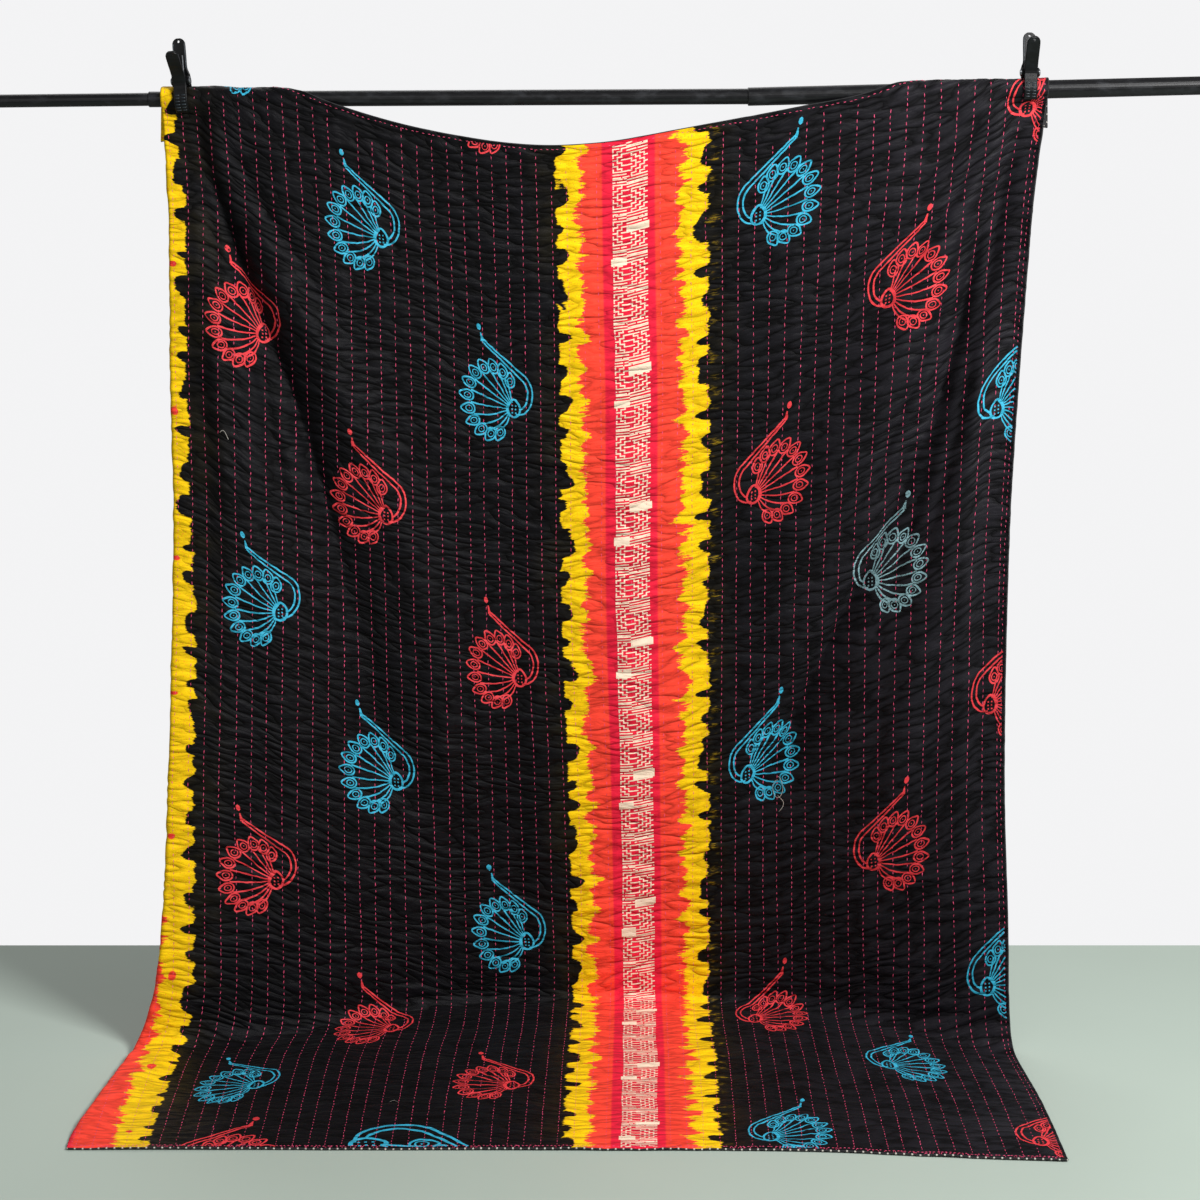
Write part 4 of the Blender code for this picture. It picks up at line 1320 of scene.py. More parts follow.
@dataclass(frozen=True)
class DyedCotton(FinishBase):
    """Black printed cotton with the dyed stripe and border, its colour darkened in the valleys of
    its crumples as painted shade.

    The black next to the dyes has an olive stain, and towards the right it is lighter, painted
    light from the side where the light falls. A pair named for an edge or a stain says where it is,
    and how soft.
    """

    name: str = "dyed_cotton"
    black: Colour = srgb(8, 8, 11)
    worn: Colour = srgb(16, 15, 18)
    # painted light: the lighter black towards the right, where the light falls
    painted_right_light: Colour = srgb(38, 36, 41)
    olive: Colour = srgb(24, 21, 13)
    yellow: Colour = srgb(243, 203, 12)
    amber: Colour = srgb(222, 160, 10)
    coral: Colour = srgb(246, 72, 50)
    scarlet: Colour = srgb(224, 48, 48)
    crimson: Colour = srgb(222, 32, 58)
    patches: Grain = Grain(9.0, 14.0, 4.0, 0.6)
    specks: Grain = Grain(420.0, 420.0, 2.0)
    streaks: Grain = Grain(20.0, 160.0, 3.0)
    speck_edge: Pair = (0.66, 0.03)
    streak_shares: Pair = (0.45, 0.50)
    right_light_edge: Pair = (1.15, 0.30)
    border_stain: Pair = (0.165, 0.030)
    stripe_middle: float = 0.868
    stripe_stain: Pair = (0.155, 0.030)
    patch_stain: Pair = (0.48, 0.14)
    # painted shade: how far the crumples' valleys are darkened, on dyed cloth and on black
    painted_valley_shade: Pair = (-0.48, 0.74)
    slub_tint: Pair = (0.6, 0.78)
    roughness: float = 0.60
    dyed_rougher: float = 0.12
    raised_rougher: float = -0.12
    gloss: float = 0.08
    sheen: float = 0.01
    sheen_roughness: float = 0.5

    def paint(self, graph: Coat) -> None:
        """Dress the material.

        Args:
            graph: the material's.
        """
        place = graph.cloth_map()
        grains = (self.patches, self.specks, self.streaks)
        patches, specks, streaks = (graph.noise(place, grain) for grain in grains)
        across = graph.parts(place)[0]
        from_stripe = graph.math("ABSOLUTE", graph.less(across, self.stripe_middle))
        by_border = graph.beyond(graph.step(across, *self.border_stain))
        by_stripe = graph.beyond(graph.step(from_stripe, *self.stripe_stain))
        near = graph.math("MAXIMUM", by_border, by_stripe)
        stained = graph.times(near, graph.step(patches, *self.patch_stain))
        # painted light: the patches of black grow lighter towards the right
        worn = graph.mix(graph.step(across, *self.right_light_edge), self.worn, self.painted_right_light)
        spotted = graph.mix(graph.step(specks, *self.speck_edge), self.yellow, self.coral)
        yellow_share, coral_share = (graph.times(streaks, share) for share in self.streak_shares)
        colours = {
            "Map": place,
            "Black": graph.mix(stained, graph.mix(patches, self.black, worn), self.olive),
            "Yellow": graph.mix(yellow_share, spotted, self.amber),
            "Coral": graph.mix(coral_share, self.coral, self.scarlet),
            "Crimson": self.crimson,
        }
        dye, weave = graph.group(graph.groups.dye, colours), graph.woven()
        # painted shade: the colour is darkened in the crumples' valleys, then tinted by the slubs
        depth = graph.plus(dye["Dyed"], *self.painted_valley_shade)
        painted_valley_shade = graph.beyond(graph.times(depth, graph.beyond(weave["Raised"])))
        painted_shade_and_slub = graph.times(painted_valley_shade, graph.plus(weave["Slub"], *self.slub_tint))
        dull = graph.plus(dye["Dyed"], self.dyed_rougher, self.roughness)
        graph.shade({
            "Base Color": graph.scale(dye["Colour"], painted_shade_and_slub),
            "Roughness": graph.plus(weave["Raised"], self.raised_rougher, dull),
            "Specular IOR Level": self.gloss,
            "Sheen Weight": self.sheen,
            "Sheen Roughness": self.sheen_roughness,
        })


@dataclass(frozen=True)
class ReverseCotton(FinishBase):
    """Black cotton with small pale dots in half-drop rows."""

    name: str = "reverse_cotton"
    black: Colour = srgb(26, 25, 27)
    dot: Colour = srgb(205, 198, 188)
    pitch: float = DOT_PITCH
    dot_edge: Pair = (0.80, 0.06)
    dot_wear: Pair = (0.6, 0.5)
    crumple: float = 0.9
    roughness: float = 0.85
    dot_rougher: float = -0.05

    def paint(self, graph: Coat) -> None:
        """Dress the material.

        Args:
            graph: the material's.
        """
        turns = 2 * math.pi / self.pitch
        parts = graph.parts(graph.cloth_map())[:2]
        waves = [graph.math("COSINE", graph.times(part, turns)) for part in parts]
        dots = graph.step(graph.times(*waves), *self.dot_edge)
        slub = graph.woven(crumple=self.crumple)["Slub"]
        worn = graph.times(dots, graph.plus(slub, *self.dot_wear))
        rough = graph.plus(dots, self.dot_rougher, self.roughness)
        graph.shade({"Base Color": graph.mix(worn, self.black, self.dot), "Roughness": rough})


@dataclass(frozen=True)
class PrintInk(FinishBase):
    """Block-printed ink, dry where the block left less of it."""

    name: str
    ink: Colour
    under: Colour = srgb(30, 28, 32)
    cover: float = 0.30
    dry: Grain = Grain(260.0, 420.0, 3.0, 0.6)
    uneven: Grain = Grain(30.0, 30.0, 2.0)
    uneven_share: float = 0.25
    feather: float = 0.10
    bare_roughness: float = 0.78
    inked_rougher: float = -0.08

    def paint(self, graph: Coat) -> None:
        """Dress the material.

        Args:
            graph: the material's.
        """
        place = graph.cloth_map()
        dry, uneven = (graph.noise(place, grain) for grain in (self.dry, self.uneven))
        level = graph.plus(uneven, self.uneven_share, dry)
        inked = graph.step(level, self.cover + self.uneven_share / 2, self.feather)
        rough = graph.plus(inked, self.inked_rougher, self.bare_roughness)
        graph.shade({"Base Color": graph.mix(inked, self.under, self.ink), "Roughness": rough})
        graph.woven()


@dataclass(frozen=True)
class SewingThread(FinishBase):
    """Twisted cotton thread, unevenly dyed."""

    name: str
    bright: Colour
    dark: Colour
    shade: Grain = Grain(70.0, 45.0, 3.0, 0.6)
    shade_edge: Pair = (0.5, 0.16)
    roughness: float = 0.6
    shade_rougher: float = 0.2
    threads: float = 2600.0
    crumple: float = 0.1
    relief: float = 0.8

    def paint(self, graph: Coat) -> None:
        """Dress the material.

        Args:
            graph: the material's.
        """
        shade = graph.noise(graph.cloth_map(), self.shade)
        colour = graph.mix(graph.step(shade, *self.shade_edge), self.dark, self.bright)
        rough = graph.plus(shade, self.shade_rougher, self.roughness)
        graph.shade({"Base Color": colour, "Roughness": rough})
        graph.woven(self.threads, self.crumple, self.relief)


@dataclass(frozen=True)
class HardFinish(FinishBase):
    """Paint, moulded nylon or bare steel: a base colour, rubbed places and a fine grain.

    polish is how much rougher the rubbed places are, or smoother where it is negative.
    """

    name: str
    base: Colour
    rubbed: Colour
    roughness: float
    polish: float
    metallic: float = 0.0
    grain: float = 900.0
    relief: float = 0.00008
    gloss: float = 0.5

    def paint(self, graph: Coat) -> None:
        """Dress the material.

        Args:
            graph: the material's.
        """
        place = graph.node("TexCoord").outputs["Object"]
        wear = graph.group(graph.groups.wear, {"Map": place, "Grain": self.grain})
        graph.shade({
            "Base Color": graph.mix(wear["Rubbed"], self.base, self.rubbed),
            "Roughness": graph.plus(wear["Rubbed"], self.polish, self.roughness),
            "Specular IOR Level": self.gloss,
            "Metallic": self.metallic,
        })
        graph.bump(wear["Height"], self.relief, 1.0)


@dataclass(frozen=True)
class FloorPaint(FinishBase):
    """Pale matt paint, a little cloudy."""

    name: str = "floor_paint"
    colour: Colour = srgb(162, 174, 164)
    clouds: Grain = Grain(3.0, 3.0, 4.0, 0.5, 3.0)
    paler: float = 1.07
    roughness: float = 0.6

    def paint(self, graph: Coat) -> None:
        """Dress the material.

        Args:
            graph: the material's.
        """
        cloudy = graph.noise(graph.node("TexCoord").outputs["Object"], self.clouds)
        paler = tuple(min(1.0, part * self.paler) for part in self.colour)
        colour = graph.mix(cloudy, self.colour, paler)
        graph.shade({"Base Color": colour, "Roughness": self.roughness})


PINK_THREAD = SewingThread("pink_thread", srgb(234, 80, 126), srgb(188, 50, 88))
GREY_THREAD = SewingThread("grey_thread", srgb(176, 170, 160), srgb(120, 116, 112))
BLUE_INK = PrintInk("blue_ink", srgb(38, 162, 194))
RED_INK = PrintInk("red_ink", srgb(214, 46, 54))
FADED_INK = PrintInk("faded_ink", srgb(124, 160, 166), cover=0.40)
WHITE_INK = PrintInk("white_ink", srgb(238, 214, 188), srgb(222, 60, 66), cover=0.24)
BAR_PAINT = HardFinish(
    "crossbar_paint", srgb(12, 12, 14), srgb(28, 29, 32), 0.34, 0.12, grain=1100.0, gloss=0.30
)
CLAMP_NYLON = HardFinish(
    "clamp_nylon", srgb(6, 7, 8), srgb(18, 20, 23), 0.38, -0.08, 0.0, 1600.0, 0.00012, 0.22
)
# painted highlight: a lighter copy of the clamp nylon, for the moulded ribs and lips
CLAMP_NYLON_HIGHLIT = HardFinish(
    "clamp_nylon_painted_highlight", srgb(34, 41, 46), srgb(56, 66, 72), 0.36, -0.06, 0.0, 1600.0, 0.00012, 0.4
)
CLAMP_STEEL = HardFinish(
    "clamp_steel", srgb(165, 168, 172), srgb(120, 122, 126), 0.28, 0.15, 1.0, 1800.0
)


class Ink(Enum):
    """The inks of the print, with the name of the piece that each makes."""

    BLUE = "print_blue"
    RED = "print_red"
    FADED = "print_faded"


INK_FINISHES = {Ink.BLUE: BLUE_INK, Ink.RED: RED_INK, Ink.FADED: FADED_INK}


class PrintColumn(NamedTuple):
    """A column of block prints: where it is, its topmost print, and the inks from the top down.

    level turns the print back where the rows of the cloth droop more than the print does, and
    nudges say how far some prints, counted from the top, were stamped from their places.
    """

    u: float
    top: float
    inks: tuple[Ink, ...]
    mirrored: bool
    level: float
    nudges: dict[int, Pair]


class PartPrint(NamedTuple):
    """A single print that the bottom hem cuts, with its size and turn."""

    ink: Ink
    place: Pair
    seed: int
    size: float
    turned: float = 0.0


PRINT_PITCH = 0.45
COLUMNS = (
    PrintColumn(
        0.245, 2.037, (Ink.BLUE, Ink.RED, Ink.BLUE, Ink.RED, Ink.BLUE), False, 0.36,
        {0: (0.004, -0.016), 1: (-0.016, -0.003), 2: (0.012, 0.022), 3: (0.015, 0.015),
         4: (0.008, 0.0)},
    ),
    PrintColumn(
        0.445, 1.813, (Ink.BLUE, Ink.RED, Ink.BLUE, Ink.RED), False, 0.12,
        {0: (0.0, -0.002), 1: (-0.006, 0.004), 2: (0.0, 0.018)},
    ),
    PrintColumn(
        0.667, 2.031, (Ink.RED, Ink.BLUE, Ink.RED, Ink.BLUE, Ink.RED), False, 0.0,
        {2: (-0.004, 0.003)},
    ),
    PrintColumn(
        1.063, 1.850, (Ink.BLUE, Ink.RED, Ink.BLUE, Ink.RED, Ink.BLUE), True, -0.13,
        {1: (0.007, 0.008)},
    ),
    PrintColumn(
        1.275, 1.670, (Ink.RED, Ink.FADED, Ink.RED, Ink.BLUE), True, 0.12, {0: (0.004, 0.006)}
    ),
    PrintColumn(1.470, 1.860, (Ink.RED, Ink.BLUE, Ink.RED, Ink.BLUE, Ink.RED), True, 0.0, {}),
)
PART_PRINTS = (
    PartPrint(Ink.RED, (0.207, -0.045), 98, 1.2),
    PartPrint(Ink.BLUE, (0.450, 0.014), 99, 1.9, 82.0),
)
Line = tuple[Array, float | Array]  # places of a stroke, and its width at each


@dataclass
class PeacockBlock:
    """A block-printed peacock: a fan of eyed feathers, an onion-shaped body and a long neck.

    Sizes are from the body's middle. The fan stands on an ellipse, and the neck is two lines,
    each an arc and a straight run. Widths are in strokes.
    """

    stroke: float = 0.0025
    step: float = 0.0016
    eyes: int = 12
    fan_middle: Pair = (-0.0385, 0.010)
    fan_radii: Pair = (0.0415, 0.0535)
    fan_turns: Pair = (39.0, 291.0)
    eye_root: Pair = (-0.004, 0.002)
    eye_length: float = 0.0102
    eye_width: float = 0.0082
    eye_tip: float = 0.42
    ring: float = 0.56
    ring_width: float = 0.62
    pupil: float = 0.0008
    pupil_width: float = 0.60
    rib_short: float = 0.40
    rib_bend: float = 0.12
    rib_low: float = 0.25
    rib_widths: Pair = (0.70, 0.35)
    body_width: float = 0.0112
    body_height: float = 0.0128
    body_point: float = 0.25
    body_widths: Pair = (1.35, 0.75)
    dash_columns: tuple[float, ...] = (-0.0028, 0.0032)
    dash_rows: tuple[float, ...] = (-0.0058, -0.0002, 0.0054)
    dash: float = 0.0011
    dash_width: float = 0.9
    neck_middle: Pair = (0.006, 0.025)
    neck_radii: Pair = (0.0265, 0.0340)
    neck_starts: Pair = (-95.0, -70.0)
    neck_gap: float = 0.0082
    neck_width: float = 1.05
    run_turn: float = 144.0
    run_length: float = 0.089
    run_drop: float = 0.55
    beak_foot: Pair = (0.0006, -0.0040)
    beak_way: Pair = (-0.0030, 0.0130)
    beak_widths: Pair = (2.3, -1.5)
    crest_middle: Pair = (-0.0055, 0.0180)
    crest_way: Pair = (-0.0020, 0.0105)
    crest_width: float = 3.1
    lean: float = 0.02
    shake: float = 0.0005
    shake_cell: float = 0.006
    uneven: float = 0.22

    def resampled(self, points: Array) -> Array:
        """A line's points, spread out evenly.

        Args:
            points: rows of places along the line.

        Returns:
            Rows of places about one step apart.
        """
        lengths = np.concatenate([[0.0], np.cumsum(np.hypot(*np.diff(points, axis=0).T))])
        places = np.linspace(0.0, lengths[-1], max(3, int(lengths[-1] / self.step) + 1))
        return pairs(*(np.interp(places, lengths, points[:, k]) for k in (0, 1)))

    def eye_places(self) -> Array:
        """The middles of the eyes, from the neck round to the bottom."""
        turns = np.radians(np.linspace(*self.fan_turns, self.eyes))
        return np.array(self.fan_middle) + self.fan_radii * pairs(np.cos(turns), np.sin(turns))

    def eye(self, middle: Array) -> list[Line]:
        """The pointed leaf at the end of a feather, the ring inside it and its pupil.

        Args:
            middle: of the leaf.

        Returns:
            Their lines.
        """
        out = normalised(middle - np.array(self.eye_root))
        aside = np.array((-out[1], out[0]))
        around = np.linspace(0.0, 2 * math.pi, 25)
        point = np.maximum(np.cos(around), 0.0) ** 5
        lines = []
        for size, tip, width in ((1.0, self.eye_tip, 1.0), (self.ring, 0.0, self.ring_width)):
            reach = self.eye_length * size * np.cos(around) * (1 + tip * point)
            spread = self.eye_width * size * np.sin(around)
            lines.append((middle + reach[:, None] * out + spread[:, None] * aside, width))
        return lines

    def rib(self, outer: Array) -> Line:
        """The rib from between two leaves to the body, thinner there.

        Args:
            outer: the place between the leaves.

        Returns:
            Its line.
        """
        way = normalised(outer)
        foot, end = way * self.body_width, outer - way * self.rib_short * self.eye_length
        along = np.linspace(0.0, 1.0, 12)[:, None]
        length = float(np.hypot(*(end - foot)))
        bend = self.rib_bend * max(0.0, self.rib_low - way[1]) * length
        bulge = np.sin(math.pi * along) * bend * np.array((-way[1], way[0]))
        least, more = self.rib_widths
        return foot + (end - foot) * along + bulge, least + more * along[:, 0]

    def neck(self) -> list[Line]:
        """Both lines of the neck, the filled beak and the crest above it.

        Returns:
            Their lines.
        """
        turn = math.radians(self.run_turn)
        run = np.array((math.cos(turn), math.sin(turn)))
        lines, tip = [], None
        for number, start in enumerate(self.neck_starts):
            radii = np.array(self.neck_radii) - number * self.neck_gap
            end = math.atan(-radii[1] / radii[0] / math.tan(turn))
            arc = np.linspace(math.radians(start), end, 24)
            curve = np.array(self.neck_middle) + radii * pairs(np.cos(arc), np.sin(arc))
            if tip is None:
                aim = tip = curve[-1] + run * self.run_length
            else:
                aim = tip - np.array((0.0, self.run_drop * self.neck_gap))
            lines.append((np.concatenate([curve, [aim]]), self.neck_width))
        along = np.linspace(0.0, 1.0, 9)[:, None]
        beak = tip + np.array(self.beak_foot) + along * np.array(self.beak_way)
        lines.append((beak, self.beak_widths[0] + self.beak_widths[1] * along[:, 0]))
        crest = tip + np.array(self.crest_middle) + (along - 0.5) * np.array(self.crest_way)
        oval = np.sqrt(np.maximum(1 - (2 * along[:, 0] - 1) ** 2, 0.02))
        lines.append((crest, self.crest_width * oval))
        return lines

    def body(self) -> list[Line]:
        """The body's outline, pointed at the top, and the dashes inside it.

        Returns:
            Their lines.
        """
        around = np.linspace(0.0, 2 * math.pi, 33)
        onion = 1 + self.body_point * np.maximum(np.sin(around), 0.0) ** 6
        x, y = self.body_width * np.cos(around), self.body_height * np.sin(around) * onion
        thin, more = self.body_widths
        lines = [(pairs(x, y), thin + more * np.maximum(-np.cos(around), 0.0))]
        for x in self.dash_columns:
            for y in self.dash_rows:
                dash = np.array([(x, y - self.dash), (x, y), (x, y + self.dash)])
                lines.append((dash, self.dash_width))
        return lines

    def lines(self) -> list[Line]:
        """All the lines of the block, with the fan to the left and the neck to the right.

        Returns:
            The lines.
        """
        eyes = self.eye_places()
        pupil = np.array([(0.0, -self.pupil), (0.0, 0.0), (0.0, self.pupil)])
        made = [line for middle in eyes for line in self.eye(middle)]
        made += [(middle + pupil, self.pupil_width) for middle in eyes]
        made += [self.rib((first + second) / 2) for first, second in zip(eyes, eyes[1:])]
        return made + self.body() + self.neck()

    def draw(
        self, drawing: Drawing, place: Pair, mirrored: bool, seed: int,
        size: float = 1.0, level: float = 0.0, turned: float = 0.0,
    ) -> None:
        """Print the block once.

        Args:
            drawing: what to draw it in.
            place: u and v of the body's middle.
            mirrored: whether the neck is on the left.
            seed: of the unevenness of this print.
            size: 1 for the block's own size.
            level: how much it is turned back against the droop of the rows.
            turned: how far the block itself was turned, in degrees.
        """
        lean = np.random.default_rng(seed).normal(0.0, self.lean) + math.radians(turned)
        turn = np.array([[math.cos(lean), -math.sin(lean)], [math.sin(lean), math.cos(lean)]])
        flip = np.array((-1.0 if mirrored else 1.0, 1.0))
        noise = Noise(seed, self.shake_cell, self.shake_cell)
        for line, width in self.lines():
            points = self.resampled(line)
            shares = (np.linspace(0, 1, count) for count in (len(points), np.size(width)))
            width = np.interp(*shares, np.atleast_1d(width))
            uneven = 1 + self.uneven * noise.at(points[:, 1] + 0.3, points[:, 0])
            shaken = points + self.shake * pairs(noise.at(*points.T), noise.at(*points.T[::-1]))
            laid = shaken @ turn.T * size
            laid[:, 1] += level * laid[:, 0]
            drawing.stroke(laid * flip + np.array(place), self.stroke * size * width * uneven)


class Strip(NamedTuple):
    """One strip of the white band: which way it runs out, to where, how slanted, and its blocks."""

    way: int
    edge: float
    slant: float
    block_start: float


@dataclass
class WhiteBand:
    """The white marks on the crimson middle of the stripe.

    Rows of dashes step into keys at each repeat, and a solid block comes between.
    """

    cell: float = 0.00225
    seam: float = 0.8590
    strips: tuple[Strip, ...] = (Strip(-1, 0.8365, 0.0, 0.030), Strip(1, 0.8930, 0.10, 0.080))
    row_shift: int = 4
    past_hems: tuple[int, int] = (8, 2)
    key_repeat: int = 25
    key_half: int = 7
    key_group: int = 3
    break_chance: float = 0.45
    block_repeat: float = 0.222
    block_height: float = 0.012
    block_reach: float = 0.003
    block_thick: float = 1.05
    dash_thick: Pair = (0.86, 0.18)
    point_gap: float = 0.0035
    ragged_reach: float = 0.0004
    sway_reach: float = 0.0018
    seed: int = 43

    def __post_init__(self) -> None:
        """Draw the noise that the hand-made edges follow."""
        self.sway = Noise(41, 0.5, 0.035)
        self.ragged = Noise(42, 0.010, 0.004)

    def marks(self, row: int, columns: int, draws: np.random.Generator) -> Array:
        """Which cells of one row are white, from the seam outwards.

        Args:
            row: number of the row from the bottom hem.
            columns: how many cells there are out to the edge.
            draws: where breaks in the dashes come from.

        Returns:
            True for each white cell.
        """
        out = np.arange(columns)
        half_repeat = self.key_repeat // 2
        middle = abs((row + half_repeat) % self.key_repeat - half_repeat)
        group = out // self.key_group
        phase = (middle + 2 * group) % 4
        keyed = (phase == 0) | ((out % self.key_group == 0) & (group > 0) & (phase < 3))
        dashes = np.full(columns, middle % 2 == 0)
        if draws.random() < self.break_chance:
            dashes[draws.integers(1, columns - 1)] = False
        return keyed if middle <= self.key_half else dashes

    def mark(self, drawing: Drawing, v: float, strip: Strip, ends: Array, solid: bool) -> None:
        """Draw one run of white cells.

        Args:
            drawing: what to draw it in.
            v: the row's.
            strip: the strip that it is in.
            ends: how far from the seam it starts and ends.
            solid: whether it is part of a block.
        """
        count = max(2, int((ends[1] - ends[0]) / self.point_gap) + 2)
        reach = np.array([0.0, self.block_reach if solid else 0.0])
        u = np.linspace(*np.sort(self.seam + strip.way * (ends + reach)), count)
        row = np.full(count, v)
        along = v + strip.slant * (u - self.seam) + self.ragged_reach * self.ragged.at(u, row)
        thin, more = self.dash_thick
        thick = self.block_thick if solid else thin + more * self.ragged.at(row, u)
        u = u + self.sway_reach * float(self.sway.at(np.array(0.2), np.array(v)))
        drawing.stroke(pairs(u, along), self.cell * thick)

    def draw(self, drawing: Drawing) -> Drawing:
        """Draw both strips from the bottom hem to the top one.

        Args:
            drawing: what to draw them in.

        Returns:
            The drawing itself.
        """
        draws = np.random.default_rng(self.seed)
        rows = range(-self.past_hems[0], int(QUILT_LENGTH / self.cell) + self.past_hems[1])
        for strip in self.strips:
            columns = round(abs(strip.edge - self.seam) / self.cell)
            for row in rows:
                v = (row + 0.5) * self.cell
                solid = (v - strip.block_start) % self.block_repeat < self.block_height
                shifted = row + self.row_shift * (strip.way > 0)
                white = np.ones(columns, bool) if solid else self.marks(shifted, columns, draws)
                steps = np.flatnonzero(np.diff(np.concatenate([[0], white, [0]])))
                for start, end in zip(steps[::2], steps[1::2]):
                    self.mark(drawing, v, strip, np.array([start, end]) * self.cell, solid)
        return drawing


@dataclass
class Stitcher:
    """Makes stitches as small raised lengths of thread, narrower and sunk at their ends."""

    crest: float = 0.0006
    sunk: float = 0.0002
    end_width: float = 0.55
    middle_sunk: float = 0.2
    hem_clear: float = 0.0005

    def add(
        self, drawing: Drawing, middles: Array, ways: Array, lengths: Array, widths: Array
    ) -> None:
        """Add stitches.

        Args:
            drawing: what to add them to.
            middles: rows of (u, v).
            ways: the direction of each on the flat cloth.
            lengths: the length of each.
            widths: the width of each.
        """
        ways = normalised(ways)
        asides = turned_right(ways)
        thirds = np.array([-0.5, 0.0, 0.5])
        along = np.repeat(thirds, 3)
        across = np.tile(thirds, 3) * np.repeat([self.end_width, 1.0, self.end_width], 3)
        low = -self.sunk * self.middle_sunk
        ends = [-self.sunk, low, -self.sunk]
        lifts = np.array([*ends, low, self.crest, low, *ends])
        places = (
            middles[:, None]
            + ways[:, None] * (along * lengths[:, None])[..., None]
            + asides[:, None] * (across * widths[:, None])[..., None]
        )
        inside = (QUILT_WIDTH - self.hem_clear, QUILT_LENGTH - self.hem_clear)
        places = np.clip(places, self.hem_clear, inside)
        quads = np.array([(0, 1, 4, 3), (1, 2, 5, 4), (3, 4, 7, 6), (4, 5, 8, 7)])
        faces = (quads[None] + 9 * np.arange(len(middles))[:, None, None]).reshape(-1, 4)
        drawing.add(np.tile(lifts, len(middles)), faces, places.reshape(-1, 2))


class Hem(NamedTuple):
    """A row of stitches along a hem, from one corner to the next: 0 or 1 for each of u and v."""

    start: tuple[int, int]
    end: tuple[int, int]
    pitch: float
    inward: float = 0.0


class Rim(NamedTuple):
    """One hem of the grids: its points, those next to them, and how it rolls round.

    flipped says that its faces go round the other way, and dotted that the reverse's dots show.
    """

    edge: object
    inner: object
    flipped: bool
    dotted: bool


HEMS = (
    Hem((0, 0), (0, 1), 0.0095),
    Hem((1, 0), (1, 1), 0.0095),
    Hem((0, 1), (1, 1), 0.0090),
    Hem((0, 0), (1, 0), 0.0060, 0.002),
)
RIMS = (
    Rim(np.s_[:, 0], np.s_[:, 1], False, True),
    Rim(np.s_[:, -1], np.s_[:, -2], True, False),
    Rim(np.s_[0], np.s_[1], True, True),
    Rim(np.s_[-1], np.s_[-2], False, False),
)


